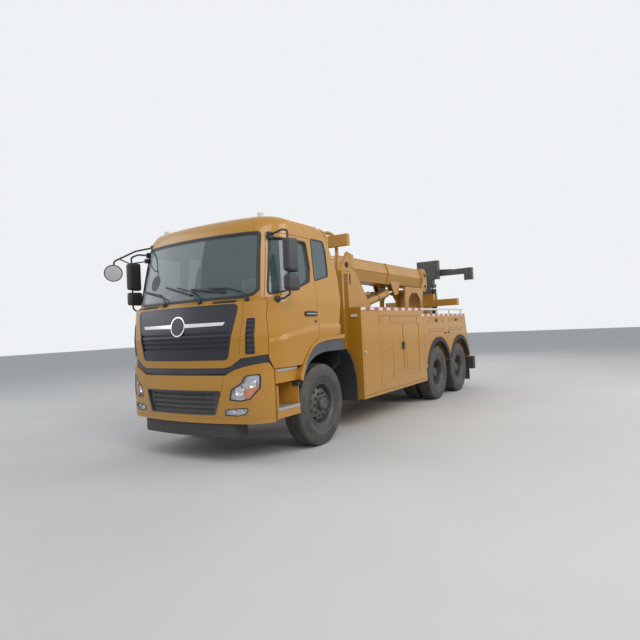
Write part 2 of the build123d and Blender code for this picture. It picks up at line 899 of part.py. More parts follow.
def hinge_barrels(front, rear, low, high, hinge_side, radius, margin):
    """Barrels of a locker door's hinge, at both ends of the hinged edge of its opening."""
    barrels = None
    for share in (0.12, 0.88):
        if hinge_side == "rear":
            z = low + share * (high - low)
            start = (body_half, rear, z - hinge_length / 2 - margin)
            end = (body_half, rear, z + hinge_length / 2 + margin)
        else:
            y = front + share * (rear - front)
            z = high if hinge_side == "top" else low
            start = (body_half, y - hinge_length / 2 - margin, z)
            end = (body_half, y + hinge_length / 2 + margin, z)
        barrel = rod(start, end, radius)
        barrels = barrel if barrels is None else barrels + barrel
    return barrels


def side_body():
    side = outline(
        [
            (body_front, body_bottom),
            (3620, body_bottom),
            (3620, 700),
            (6400, 700),
            (rear_low_y, 900),
            (rear_top_y, low_top),
            (step_down_y, low_top),
            (step_down_y, body_top),
            (body_front, body_top),
        ]
    )
    body = across(side, body_inner, body_half)
    for y in (axle_2_y, axle_3_y):
        body -= rod((500, y, axle_z), (1400, y, axle_z), arch_radius)
    for front, rear, low, high in hollows:
        limit = min(high, body_top - body_wall if rear < step_down_y else low_top - body_wall)
        body -= block(body_inner + body_wall, body_half - body_wall, front, rear, low, limit)
    for _, front, rear, low, high, hinge_side in lockers:
        body -= block(body_half - body_wall - 1, body_half + 1, front, rear, low, high)
        body -= hinge_barrels(front, rear, low, high, hinge_side, hinge_radius + seat_gap, seat_gap)
    return body


pieces["side_body_left"] = side_body()
pieces["side_body_right"] = mirrored(pieces["side_body_left"])
for name, front, rear, low, high, hinge_side in lockers:
    leaf = block(
        body_half - body_wall, body_half, front + panel_gap, rear - panel_gap, low + panel_gap, high - panel_gap
    )
    for y0, y1, z0, z1 in pressings[name]:
        leaf -= block(body_half - press_depth, body_half + 1, y0, y1, z0, z1)
    leaf += hinge_barrels(front, rear, low, high, hinge_side, hinge_radius, 0)
    if name == "narrow":
        leaf += rod((body_half, front + 35, 1150), (body_half + 22, front + 35, 1150), 14)
    if name == "large":
        leaf += block(body_half - press_depth, body_half + 8, 2515, 2605, 1120, 1245)
        leaf += rod((body_half, front + 60, 1180), (body_half + 22, front + 60, 1180), 14)
        leaf += rod((body_half, rear - 45, 1180), (body_half + 22, rear - 45, 1180), 14)
    if name.startswith("upper"):
        middle = (front + rear) / 2
        leaf += block(body_half, body_half + 8, middle - 30, middle + 30, 1570, 1620)
    pieces[f"locker_{name}_left"] = leaf
    pieces[f"locker_{name}_right"] = mirrored(leaf)


# Deck between the lockers, headboard and rails
deck = block(-body_inner + 1, body_inner - 1, body_front, 6350, rail_top + 70, deck_top)
deck += both(block(rail_outer - rail_flange, rail_outer, body_front, 6350, rail_top, rail_top + 70))
for y in (1300, 2900, 3550, 6250):
    deck += both(block(rail_outer, body_inner, y - 40, y + 40, rail_top + 20, rail_top + 70))
pieces["deck"] = deck


def side_rail():
    outer_x = body_half - rail_inset
    inner_x = outer_x - rail_width
    bottom = low_top + rail_lift
    bar = block(inner_x, outer_x, step_down_y + 30, rear_top_y - 20, bottom, bottom + rail_height)
    for n in range(4):
        y = step_down_y + 150 + n * (rear_top_y - step_down_y - 300) / 3
        bar += block(inner_x + 5, outer_x - 5, y - 15, y + 15, low_top, bottom + 5)
    return bar


pieces["side_rails"] = both(side_rail())


# Hoops behind the cab with their cross beam
def hoop(y, foot):
    points = [(-hoop_reach, y, foot), (-hoop_reach, y, hoop_top), (hoop_reach, y, hoop_top), (hoop_reach, y, foot)]
    return pipe(points, 190, hoop_radius)


guard = hoop(hoop_front, 1110) + hoop(hoop_rear, body_top)
guard += block(-1110, 1110, 990, hoop_rear - hoop_radius + 2, 2780, 2955)
guard += block(-980, 980, body_front - 42, body_front, 1160, 2420)
guard += block(-hoop_reach - 30, hoop_reach + 30, hoop_front - 40, hoop_front + 40, rail_top, 1115)
guard += both(block(rail_outer - rail_flange, rail_outer, hoop_front, body_front, rail_top, 1170))
guard += both(block(700, 740, hoop_front, body_front, rail_top + 10, 1170))
guard += both(block(hoop_reach - 20, hoop_reach + 20, body_front - 42, hoop_rear, body_top, body_top + 60))
pieces["headboard"] = guard

# Mast with side plates, front plate and the cheeks that carry the boom
cheek_points = [
    (1730, 2470),
    (2075, 2860),
    (2285, 2815),
    (2350, 2520),
    (2890, 1900),
    (2890, deck_top),
    (mast_front, deck_top),
    (mast_front, 2470),
]
plate = across(outline(cheek_points), mast_half - mast_plate, mast_half)
pivot_start = (mast_half - 60, boom_pivot_y, boom_pivot_z)
pivot_end = (mast_half + 20, boom_pivot_y, boom_pivot_z)
plate -= rod(pivot_start, pivot_end, boom_pin + fit_gap)
mast = both(plate)
mast += block(-mast_half, mast_half, mast_front, mast_front + 40, deck_top, 2330)
mast += block(-mast_half, mast_half, 2830, 2870, deck_top, 1560)
mast += rod((-mast_half, cylinder_base_y, cylinder_base_z), (mast_half, cylinder_base_y, cylinder_base_z), base_pin)
pieces["mast"] = mast


# Boom: hollow six-sided outer section with a telescoping stage
def boom_section(grow):
    return outline(
        [
            (-boom_flat - grow * 0.8, boom_bottom - grow),
            (boom_flat + grow * 0.8, boom_bottom - grow),
            (boom_half + grow, boom_ridge),
            (boom_flat + grow * 0.8, boom_top + grow),
            (-boom_flat - grow * 0.8, boom_top + grow),
            (-boom_half - grow, boom_ridge),
        ]
    )


boom = along(boom_section(0), boom_start, boom_end)
boom += along(boom_section(12), 4250, boom_end)
boom += along(boom_section(30), boom_end - 60, boom_end)
boom -= along(boom_section(-boom_wall), boom_start + 40, boom_end - 80)
boom -= along(boom_section(-boom_wall - stage_gap + seat_gap), boom_end - 100, boom_end + 10)
root = across(outline([(1880, 2560), (1950, 2740), (2270, boom_top), (2270, boom_bottom), (1950, 2520)]), -180, 180)
root -= block(-400, 400, 2280, 2600, boom_bottom - 40, boom_top + 40)
boom += root
reach = mast_half - mast_plate - panel_gap
boom += rod((-reach, boom_pivot_y, boom_pivot_z), (reach, boom_pivot_y, boom_pivot_z), 90)
boom += rod((-mast_half - 25, boom_pivot_y, boom_pivot_z), (mast_half + 25, boom_pivot_y, boom_pivot_z), boom_pin)
bracket_points = [(4380, boom_bottom + 60), (4860, boom_bottom + 60), (4800, 2240), (4660, 2190), (4560, 2210)]
bracket_plates = None
for x0, x1 in [
    (cylinder_x - eye_half - 26, cylinder_x - eye_half - 8),
    (cylinder_x + eye_half + 8, cylinder_x + eye_half + 26),
]:
    tab = across(outline(bracket_points), x0, x1)
    bracket_plates = tab if bracket_plates is None else bracket_plates + tab
bracket_plates -= along(boom_section(-boom_wall), 4000, 5000)
boom += both(bracket_plates)
pieces["boom"] = boom

stage = along(boom_section(-boom_wall - stage_gap), boom_end - 2400, boom_end + 70)
stage += along(boom_section(-boom_wall - seat_gap), boom_end - 2400, boom_end - 2300)
stage -= along(boom_section(-boom_wall - stage_gap - 12), boom_end - 2500, boom_end - 40)
head_points = [(6210, 2330), (6210, 2880), (6420, 2890), (6550, 2780), (6550, 2420), (6450, 2330)]
for x0, x1 in [(-215, -190), (-12, 12), (190, 215)]:
    stage += across(outline(head_points), x0, x1)
stage += block(-215, 215, 6205, 6235, 2330, 2880)
for z in (2460, 2730):
    for x in (-102, 102):
        stage += rod((x - 26, 6430, z), (x + 26, 6430, z), 105 if z < 2600 else 90)
    stage += rod((-225, 6430, z), (225, 6430, z), 28)
pieces["boom_stage"] = stage

# Boom lift cylinders: barrels on the mast, rods ending at the boom's bracket
base = Vector(0, cylinder_base_y, cylinder_base_z)
eye_place = Vector(0, cylinder_eye_y, cylinder_eye_z)
way = (eye_place - base).normalized()


def on_cylinder(x, distance):
    spot = base + way * distance
    return (x, spot.Y, spot.Z)


barrels = None
rods = None
for x in (-cylinder_x, cylinder_x):
    barrel = rod(on_cylinder(x, 90), on_cylinder(x, barrel_length), barrel_radius)
    barrel -= rod(on_cylinder(x, 140), on_cylinder(x, barrel_length + 5), rod_radius + fit_gap)
    barrel += rod((x - 45, cylinder_base_y, cylinder_base_z), (x + 45, cylinder_base_y, cylinder_base_z), 66)
    barrel += rod(on_cylinder(x, 40), on_cylinder(x, 100), 50)
    pin_start = (x - 60, cylinder_base_y, cylinder_base_z)
    barrel -= rod(pin_start, (x + 60, cylinder_base_y, cylinder_base_z), base_pin + fit_gap)
    stem = rod(on_cylinder(x, 900), on_cylinder(x, (eye_place - base).length), rod_radius)
    eye_start = (x - eye_half, cylinder_eye_y, cylinder_eye_z)
    stem += rod(eye_start, (x + eye_half, cylinder_eye_y, cylinder_eye_z), eye_radius)
    barrels = barrel if barrels is None else barrels + barrel
    rods = stem if rods is None else rods + stem
pieces["lift_barrels"] = barrels
pieces["lift_rods"] = rods


# Boom rest with an arch in each side, and the winch drum inside it
def rest_side(x0, x1):
    side = [(4880, deck_top), (4930, 2200), (4960, 2385), (5960, 2385), (5960, deck_top)]
    opening = [(5080, 1700), (5120, 2120), (5300, 2260), (5620, 2260), (5800, 2120), (5840, 1700)]
    return across(outline(side), x0, x1) - across(outline(opening, 60), x0 - 1, x1 + 1)


rest = both(rest_side(290, 320))
rest += block(-320, 320, 5930, 5960, deck_top, 2385)
rest += block(-320, 320, 4900, 4930, deck_top, 1700)
winch_y = 5440
winch_z = 1480
rest += both(rod((255, winch_y, winch_z), (325, winch_y, winch_z), 35))
pieces["boom_rest"] = rest
drum = rod((-250, winch_y, winch_z), (250, winch_y, winch_z), 130)
drum += rod((-275, winch_y, winch_z), (-250, winch_y, winch_z), 230)
drum += rod((250, winch_y, winch_z), (275, winch_y, winch_z), 230)
drum -= both(rod((250, winch_y, winch_z), (280, winch_y, winch_z), 35 + fit_gap))
drum -= rod((-300, winch_y, winch_z), (300, winch_y, winch_z), 36)
pieces["winch_drum"] = drum

# Rear bumper halves with their lamp boxes, and the mudflaps
tail = both(block(250, 1190, 6760, 6880, 520, 640))
tail += both(block(930, 1225, 6740, 6900, 400, 700))
tail += both(block(rail_outer, rail_outer + 60, 6300, 6800, 560, 900))
pieces["tail_bumper"] = tail
flaps = both(block(640, 1210, 6440, 6452, 180, 900) + block(rail_outer + 60, 1210, 6440, 6470, 860, 900))
lips = both(arch_lip(axle_2_y) + arch_lip(axle_3_y))
pieces["mudguards"] = both(mudguard()) + flaps + lips

# Underlift: column, sliding carriage, folding arm, telescoping arm and swinging crossbar
column = block(-column_half, column_half, column_front, column_rear, 560, column_top)
column += block(-370, 370, column_front - 30, column_rear - 60, 1950, column_top)
column += block(-950, 950, column_front - 20, column_front + 140, 1960, 2120)
column += both(block(column_half, rail_outer, column_front, column_front + 120, rail_bottom, rail_top))
column += both(block(260, rail_outer, rail_rear, column_front, rail_bottom, rail_top))
ram_y = column_rear - 160
column -= both(rod((ram_x, ram_y, ram_bottom - 10), (ram_x, ram_y, ram_top), ram_radius + seat_gap))
pieces["underlift_column"] = column
ram = rod((ram_x, ram_y, ram_bottom), (ram_x, ram_y, ram_top), ram_radius)
ram += rod((ram_x, ram_y, ram_top), (ram_x, ram_y, ram_top + 30), ram_radius - 12)
pieces["underlift_rams"] = both(ram)

carriage = block(-190, 190, column_rear + panel_gap, slide_rear, 620, 1500)
carriage += both(block(140, 185, column_rear + seat_gap, column_rear + panel_gap + 1, 640, 1480))
for x0, x1 in [(-190, -arm_half - panel_gap), (arm_half + panel_gap, 190)]:
    carriage += across(outline([(7040, 620), (7040, 900), (fold_y, 785), (fold_y + 70, 700), (fold_y, 620)]), x0, x1)
carriage += rod((-190, fold_y, fold_z), (190, fold_y, fold_z), fold_pin)
pieces["underlift_carriage"] = carriage

arm = block(-arm_half, arm_half, arm_front, arm_rear, fold_z + 60, arm_top)
arm += block(-arm_half, arm_half, 7125, arm_rear, fold_z + 40, 1000)
arm += rod((-arm_half, fold_y, fold_z), (arm_half, fold_y, fold_z), 68)
arm += block(-arm_half, arm_half, fold_y, arm_rear, fold_z - 20, fold_z + 70)
arm -= rod((-200, fold_y, fold_z), (200, fold_y, fold_z), fold_pin + fit_gap)
bore_half = arm_half - arm_wall
arm -= block(-bore_half, bore_half, arm_front + arm_wall, arm_rear - arm_wall, 1250, arm_top + 10)
pieces["underlift_arm"] = arm

inset = arm_wall + inner_arm_gap
inner_arm = block(-arm_half + inset, arm_half - inset, arm_front + inset, arm_rear - inset, 1300, 2700)
pad = arm_wall + seat_gap
inner_arm += block(-arm_half + pad, arm_half - pad, arm_front + pad, arm_rear - pad, 1300, 1380)
inner_arm += block(-275, 275, arm_front + 20, arm_rear - 20, 2690, 3170)
inner_arm += rod((0, arm_rear - 30, 2850), (0, arm_rear + 165, 2850), swing_pin)
pieces["underlift_tip"] = inner_arm
claw_in = crossbar_half - claw_width
crossbar = block(-claw_in, claw_in, arm_rear + 20, arm_rear + 160, 2780, 2920)
crossbar -= rod((0, arm_rear, 2850), (0, arm_rear + 200, 2850), swing_pin + fit_gap)
pieces["underlift_crossbar"] = crossbar
claw = block(claw_in, crossbar_half, arm_rear + 20, arm_rear + 160, 2620, 2920)
claw_x = crossbar_half - claw_width / 2
claw -= rod((claw_x, arm_rear + 90, 2600), (claw_x, arm_rear + 90, 2940), fork_socket)
pieces["fork_sockets"] = both(claw)

os.makedirs("parts", exist_ok=True)
for name, shape in pieces.items():
    export_step(Pos(0, -origin_back, 0) * shape, f"parts/{name}.step")
    print(name, round(shape.volume / 1e9, 4))
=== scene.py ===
import math

import bmesh
import bpy
from mathutils import Matrix, Vector


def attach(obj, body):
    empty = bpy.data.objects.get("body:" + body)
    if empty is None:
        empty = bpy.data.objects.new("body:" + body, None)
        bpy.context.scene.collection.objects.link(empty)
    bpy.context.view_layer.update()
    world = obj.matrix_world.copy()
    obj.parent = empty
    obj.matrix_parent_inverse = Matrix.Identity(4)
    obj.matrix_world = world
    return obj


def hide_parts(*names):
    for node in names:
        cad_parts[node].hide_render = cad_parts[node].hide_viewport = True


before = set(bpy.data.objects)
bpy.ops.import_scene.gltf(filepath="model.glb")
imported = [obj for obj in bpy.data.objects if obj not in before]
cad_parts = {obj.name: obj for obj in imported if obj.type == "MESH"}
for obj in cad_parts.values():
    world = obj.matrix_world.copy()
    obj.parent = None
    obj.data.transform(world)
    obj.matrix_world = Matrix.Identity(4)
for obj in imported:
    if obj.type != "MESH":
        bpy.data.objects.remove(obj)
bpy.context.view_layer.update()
print("frame loaded:", len(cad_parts), "nodes")

axleShift = 3.08  # from the front axle to the middle of the truck
axleHeight = 0.542


def at(x, y, z):
    return Vector((x, y - axleShift, z))


# Camera, light and floor
camera = {"place": (4.892, -5.780, 1.548), "yaw": 32.62, "pitch": 0.91, "roll": -2.70, "lens": 29.05}
studio = {
    "sky": (0.80, 0.84, 0.90), "skyStrength": 0.50, "backdrop": (0.86, 0.88, 0.90),
    "floorHalf": 60, "floorColors": [(0.0, (0.60, 0.60, 0.59)), (1.0, (0.72, 0.72, 0.71))],
    # place, aim, size, power, color
    "lights": {
        "keyLight": ((9, -9, 9), (0, -2, 1.5), 7, 620, (1.0, 0.97, 0.92)),
        "sideLight": ((10, 3, 7), (0, 0, 1.5), 6, 380, (1.0, 0.97, 0.93)),
        "fillLight": ((-9, -8, 7), (0, -1, 1.5), 8, 260, (0.92, 0.96, 1.0)),
        "rearLight": ((-4, 11, 8), (0, 2, 1.5), 7, 300, (1.0, 0.98, 0.95)),
    },
}


def makeCamera():
    data = bpy.data.cameras.new("camera")
    data.lens = camera["lens"]
    data.sensor_width = 36
    eye = bpy.data.objects.new("camera", data)
    yaw, pitch = math.radians(camera["yaw"]), math.radians(camera["pitch"])
    ahead = Vector((-math.sin(yaw) * math.cos(pitch), math.cos(yaw) * math.cos(pitch), math.sin(pitch)))
    turn = ahead.to_track_quat("-Z", "Y").to_matrix()
    roll = Matrix.Rotation(math.radians(camera["roll"]), 3, "Z")
    eye.matrix_world = Matrix.Translation(at(*camera["place"])) @ (turn @ roll).to_4x4()
    bpy.context.scene.collection.objects.link(eye)
    bpy.context.scene.camera = eye


def makeLight(name, place, aim, size, power, color):
    data = bpy.data.lights.new(name, "AREA")
    data.size = size
    data.energy = power
    data.color = color
    lamp = bpy.data.objects.new(name, data)
    lamp.location = place
    lamp.rotation_euler = (Vector(aim) - Vector(place)).to_track_quat("-Z", "Y").to_euler()
    bpy.context.scene.collection.objects.link(lamp)


# Node helpers: a value is a number, a color or another node's socket
def feed(tree, value, socket):
    if isinstance(value, bpy.types.NodeSocket):
        tree.links.new(value, socket)
    else:
        socket.default_value = (*value, 1) if isinstance(value, tuple) else value


def addNode(tree, kind, values, out=0, operation=None):
    node = tree.nodes.new("ShaderNode" + kind)
    if operation:
        node.operation = operation
    for key, value in values.items():
        feed(tree, value, node.inputs[key])
    return node.outputs[out]


def addNoise(tree, scale, detail, roughness=0.5):
    place = tree.nodes.new("ShaderNodeTexCoord").outputs["Object"]
    values = {"Vector": place, "Scale": scale, "Detail": detail, "Roughness": roughness}
    return addNode(tree, "TexNoise", values, "Fac")


def addAxis(tree, axis):
    place = tree.nodes.new("ShaderNodeTexCoord").outputs["Object"]
    return addNode(tree, "SeparateXYZ", {0: place}, axis)


def mixColors(tree, amount, first, second):
    node = tree.nodes.new("ShaderNodeMix")
    node.data_type = "RGBA"
    for slot, value in ((0, amount), (6, first), (7, second)):
        feed(tree, value, node.inputs[slot])
    return node.outputs[2]


def addRamp(tree, amount, stops):
    node = tree.nodes.new("ShaderNodeValToRGB")
    for element, (place, color) in zip(node.color_ramp.elements, stops):
        element.position = place
        element.color = (*color, 1)
    feed(tree, amount, node.inputs[0])
    return node.outputs[0]


def newFinish(name, values):
    material = bpy.data.materials.new(name)
    material.use_nodes = True
    shader = material.node_tree.nodes["Principled BSDF"]
    for key, value in values.items():
        feed(material.node_tree, value, shader.inputs[key])
    return material, material.node_tree, shader.inputs


def makeStudio():
    scene = bpy.context.scene
    scene.view_settings.view_transform = "Standard"
    world = bpy.data.worlds.new("studio")
    scene.world = world
    world.use_nodes = True
    tree = world.node_tree
    tree.nodes.clear()
    ray = tree.nodes.new("ShaderNodeLightPath").outputs
    seen = addNode(tree, "Math", {0: ray["Is Camera Ray"], 1: ray["Is Transmission Ray"]},
                   operation="MAXIMUM")
    shown = addNode(tree, "Math", {0: seen, 1: ray["Is Glossy Ray"]}, operation="MAXIMUM")
    sky = addNode(tree, "Background", {"Color": studio["sky"], "Strength": studio["skyStrength"]})
    back = addNode(tree, "Background", {"Color": studio["backdrop"], "Strength": 1.0})
    mixed = addNode(tree, "MixShader", {0: shown, 1: sky, 2: back})
    feed(tree, mixed, tree.nodes.new("ShaderNodeOutputWorld").inputs[0])
    for name, values in studio["lights"].items():
        makeLight(name, *values)


# Finishes: one builder, one table
finishes = {
    # color, second color, patch scale, roughness, spread, metallic, coat, grain scale, grain, dust
    "bodyPaint": ((0.52, 0.245, 0.014), (0.46, 0.21, 0.011), 1.3, 0.36, 0.1, 0, 0.4, 90, 0.04, 0.32),
    "boomPaint": ((0.54, 0.285, 0.05), (0.46, 0.232, 0.03), 2.2, 0.42, 0.14, 0, 0.3, 60, 0.08, 0.4),
    "blackPlastic": ((0.022, 0.024, 0.028), (0.035, 0.037, 0.042), 5, 0.46, 0.12, 0, 0, 420, 0.1, 0.5),
    "grilleBlack": ((0.01, 0.012, 0.021), (0.016, 0.019, 0.029), 4, 0.34, 0.1, 0, 0.2, 260, 0.05, 0.15),
    "archGrey": ((0.06, 0.068, 0.078), (0.085, 0.095, 0.105), 4, 0.62, 0.1, 0, 0, 300, 0.12, 0.7),
    "chassisBlack": ((0.014, 0.015, 0.018), (0.03, 0.031, 0.034), 6, 0.58, 0.15, 0.1, 0, 140, 0.16, 0.55),
    "engineIron": ((0.13, 0.135, 0.14), (0.08, 0.082, 0.085), 9, 0.6, 0.15, 0.6, 0, 180, 0.25, 0.6),
    "underliftGrey": ((0.055, 0.062, 0.06), (0.085, 0.092, 0.088), 5, 0.48, 0.14, 0.1, 0.1, 120, 0.12, 0.7),
    "rimSteel": ((0.044, 0.047, 0.054), (0.075, 0.077, 0.082), 8, 0.48, 0.14, 0.3, 0, 200, 0.12, 0.65),
    "chrome": ((0.8, 0.81, 0.83), (0.66, 0.67, 0.69), 12, 0.1, 0.08, 1, 0, 300, 0.01, 0.1),
    "brightSteel": ((0.62, 0.63, 0.64), (0.48, 0.48, 0.49), 16, 0.3, 0.14, 0.9, 0, 260, 0.06, 0.3),
    "dashPlastic": ((0.1, 0.1, 0.105), (0.13, 0.13, 0.135), 6, 0.62, 0.1, 0, 0, 520, 0.18, 0.1),
    "trimRubber": ((0.014, 0.014, 0.016), (0.022, 0.022, 0.024), 8, 0.55, 0.1, 0, 0, 300, 0.08, 0.3),
    "whitePaint": ((0.74, 0.74, 0.72), (0.62, 0.62, 0.6), 3, 0.4, 0.12, 0, 0.2, 140, 0.05, 0.4),
    "tapeRed": ((0.52, 0.03, 0.035), (0.42, 0.022, 0.028), 5, 0.32, 0.08, 0, 0.3, 700, 0.08, 0.15),
    "tapeWhite": ((0.74, 0.75, 0.76), (0.62, 0.63, 0.64), 5, 0.3, 0.08, 0, 0.3, 700, 0.08, 0.15),
    "guardBlack": ((0.011, 0.013, 0.017), (0.02, 0.022, 0.027), 4, 0.66, 0.1, 0, 0, 300, 0.1, 0.3),
    "lampSilver": ((0.66, 0.68, 0.71), (0.5, 0.52, 0.55), 14, 0.24, 0.1, 0.8, 0.2, 90, 0.1, 0.1),
    "lampClear": ((0.8, 0.82, 0.84), (0.66, 0.68, 0.7), 9, 0.14, 0.06, 0, 0.5, 60, 0.1, 0.1),
    "lampAmber": ((0.82, 0.2, 0.008), (0.66, 0.13, 0.006), 9, 0.16, 0.06, 0, 0.5, 60, 0.1, 0.1),
    "lampRed": ((0.45, 0.015, 0.015), (0.32, 0.01, 0.01), 9, 0.18, 0.06, 0, 0.5, 60, 0.1, 0.1),
    "seatCloth": ((0.15, 0.15, 0.17), (0.2, 0.2, 0.22), 30, 0.85, 0.08, 0, 0, 900, 0.35, 0),
    "ropeSteel": ((0.22, 0.22, 0.22), (0.14, 0.14, 0.13), 40, 0.45, 0.15, 0.8, 0, 600, 0.3, 0.3),
}
dustSet = {"color": (0.34, 0.30, 0.25), "high": 1.35, "low": 0.15, "least": 0.04, "most": 0.75}
tyreDirt = [(0.30, (0.030, 0.029, 0.028)), (0.78, (0.115, 0.105, 0.092))]
glassSet = {"cabGlass": ((0.10, 0.16, 0.17), 0.52), "lensGlass": ((0.75, 0.78, 0.80), 0.09)}
liningSet = {
    "color": (0.030, 0.031, 0.036), "cabHalf": 1.02, "cabHeight": 1.107, "cabCoat": 0.1,
    "doorLean": {"From Min": 1.942, "From Max": 2.755, "To Min": 1.187, "To Max": 1.091},
}


def makeFinish(name):
    color, second, patch, rough, spread, metallic, coat, grainScale, grain, dust = finishes[name]
    shaderValues = {"Metallic": metallic, "Coat Weight": coat, "Coat Roughness": 0.09}
    material, tree, inputs = newFinish(name, shaderValues)
    tone = mixColors(tree, addNoise(tree, patch, 6), color, second)
    low = addNode(tree, "MapRange", {"Value": addAxis(tree, "Z"), "From Min": dustSet["high"],
                                     "From Max": dustSet["low"], "To Min": dustSet["least"],
                                     "To Max": dustSet["most"]})
    spots = addNoise(tree, 7, 9, 0.65)
    amount = addNode(tree, "Math", {0: low, 1: spots}, operation="MULTIPLY")
    scaled = addNode(tree, "Math", {0: amount, 1: dust}, operation="MULTIPLY")
    feed(tree, mixColors(tree, scaled, tone, dustSet["color"]), inputs["Base Color"])
    gloss = {"Value": spots, "To Min": max(0.03, rough - spread), "To Max": rough + spread}
    feed(tree, addNode(tree, "MapRange", gloss), inputs["Roughness"])
    bump = {"Strength": grain, "Distance": 0.004, "Height": addNoise(tree, grainScale, 3)}
    feed(tree, addNode(tree, "Bump", bump), inputs["Normal"])
    return material


def makeGlass(name):
    color, alpha = glassSet[name]
    shaderValues = {"Base Color": color, "Roughness": 0.03, "Specular IOR Level": 0.8, "Coat Weight": 0.6,
                    "Coat Roughness": 0.02}
    material, tree, inputs = newFinish(name, shaderValues)
    cover = {"Value": addNoise(tree, 3, 7), "To Min": alpha - 0.05, "To Max": alpha + 0.09}
    feed(tree, addNode(tree, "MapRange", cover), inputs["Alpha"])
    return material


def makeTyreRubber():
    material = makeFinish("trimRubber")
    material.name = "tyreRubber"
    tree = material.node_tree
    inputs = tree.nodes["Principled BSDF"].inputs
    inputs["Coat Weight"].default_value = 0
    feed(tree, addRamp(tree, addNoise(tree, 5, 10, 0.7), tyreDirt), inputs["Base Color"])
    return material


# Body paint outside, a dark lining on the inner faces
def makeLined(name):
    material = makeFinish("bodyPaint")
    material.name = name
    tree = material.node_tree
    inputs = tree.nodes["Principled BSDF"].inputs
    painted = inputs["Base Color"].links[0].from_socket
    across = addNode(tree, "Math", {0: addAxis(tree, "X")}, operation="ABSOLUTE")
    height = addAxis(tree, "Z")
    if name == "doorLining":
        lean = addNode(tree, "MapRange", {"Value": height, **liningSet["doorLean"]})
        mask = addNode(tree, "Math", {0: across, 1: lean}, operation="LESS_THAN")
    else:
        above = addNode(tree, "Math", {0: height, 1: liningSet["cabHeight"]}, operation="GREATER_THAN")
        inside = addNode(tree, "Math", {0: across, 1: liningSet["cabHalf"]}, operation="LESS_THAN")
        mask = addNode(tree, "Math", {0: above, 1: inside}, operation="MAXIMUM")
        inputs["Coat Weight"].default_value = liningSet["cabCoat"]
    feed(tree, mixColors(tree, mask, painted, liningSet["color"]), inputs["Base Color"])
    return material


palette = {}


def finish(name):
    if name not in palette:
        if name in glassSet:
            palette[name] = makeGlass(name)
        elif name == "tyreRubber":
            palette[name] = makeTyreRubber()
        elif name in ("cabLining", "doorLining"):
            palette[name] = makeLined(name)
        else:
            palette[name] = makeFinish(name)
    return palette[name]


# Mesh helpers
def newObject(name, mesh):
    piece = bpy.data.objects.new(name, mesh)
    bpy.context.scene.collection.objects.link(piece)
    return piece


def fromBmesh(name, bm):
    mesh = bpy.data.meshes.new(name)
    bm.to_mesh(mesh)
    bm.free()
    return newObject(name, mesh)


# From lists of points and faces, with the normals turned outward
def fromLists(name, verts, faces, weld=0, bevel=0):
    mesh = bpy.data.meshes.new(name)
    mesh.from_pydata([tuple(v) for v in verts], [], faces)
    mesh.validate()
    return fixNormals(newObject(name, mesh), weld, bevel)


def fixNormals(piece, weld=0, bevel=0):
    bm = bmesh.new()
    bm.from_mesh(piece.data)
    if weld:
        bmesh.ops.remove_doubles(bm, verts=bm.verts, dist=weld)
    bmesh.ops.recalc_face_normals(bm, faces=bm.faces)
    if bevel:
        bmesh.ops.bevel(bm, geom=bm.edges[:], offset=bevel, segments=2, affect="EDGES", clamp_overlap=True)
    bm.to_mesh(piece.data)
    bm.free()
    return piece


# Quads between rows of points, each row a ring of count points
def ringFaces(rows, count, rowsClosed=False, ringClosed=True):
    faces = []
    for n in range(rows if rowsClosed else rows - 1):
        m = (n + 1) % rows
        for k in range(count if ringClosed else count - 1):
            j = (k + 1) % count
            faces.append([n * count + k, n * count + j, m * count + j, m * count + k])
    return faces


def dress(piece, finishName, body, crease=35):
    piece.data.materials.clear()
    piece.data.materials.append(finish(finishName))
    if crease:
        for face in piece.data.polygons:
            face.use_smooth = True
        piece.data.set_sharp_from_angle(angle=math.radians(crease))
    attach(piece, body)
    return piece


def flatten(piece):
    depsgraph = bpy.context.evaluated_depsgraph_get()
    mesh = bpy.data.meshes.new_from_object(piece.evaluated_get(depsgraph))
    piece.modifiers.clear()
    piece.data = mesh
    return piece


def carve(piece, tool, how="DIFFERENCE"):
    step = piece.modifiers.new("carve", "BOOLEAN")
    step.operation = how
    step.solver = "EXACT"
    step.object = tool
    flatten(piece)
    bpy.data.objects.remove(tool)
    return piece


def cut(piece, points, high=-1.0, low=-1.7, way="y", how="DIFFERENCE"):
    return carve(piece, prism("tool", points, way, low, high), how)


def softenEdges(piece, width):
    step = piece.modifiers.new("soften", "BEVEL")
    step.width = width
    step.segments = 2
    step.limit_method = "ANGLE"
    step.angle_limit = math.radians(40)
    step.harden_normals = False
    return flatten(piece)


def joined(name, pieces):
    bm = bmesh.new()
    for piece in pieces:
        bm.from_mesh(piece.data)
        bpy.data.objects.remove(piece)
    return fromBmesh(name, bm)


def mirroredPiece(name, piece):
    bm = bmesh.new()
    bm.from_mesh(piece.data)
    bmesh.ops.scale(bm, vec=(-1, 1, 1), verts=bm.verts)
    bmesh.ops.reverse_faces(bm, faces=bm.faces)
    other = fromBmesh(name, bm)
    for material in piece.data.materials:
        other.data.materials.append(material)
    return other


def withMirror(pieces):
    return pieces + [mirroredPiece("other", piece) for piece in pieces]


# A left piece and its right twin, each with its own body
def bothSides(piece, skin, body, crease=30):
    dress(piece, skin, body, crease)
    other = mirroredPiece(piece.name.replace("Left", "Right"), piece)
    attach(other, body.replace("left", "right"))
    return other


def blockPiece(name, low, high, bevel=0.004):
    bm = bmesh.new()
    bmesh.ops.create_cube(bm, size=1)
    size = [b - a for a, b in zip(low, high)]
    bmesh.ops.scale(bm, vec=size, verts=bm.verts)
    bmesh.ops.translate(bm, vec=at(*[(a + b) / 2 for a, b in zip(low, high)]), verts=bm.verts)
    if bevel:
        bmesh.ops.bevel(bm, geom=bm.edges[:], offset=min(bevel, min(size) * 0.3), segments=2, affect="EDGES")
    return fromBmesh(name, bm)


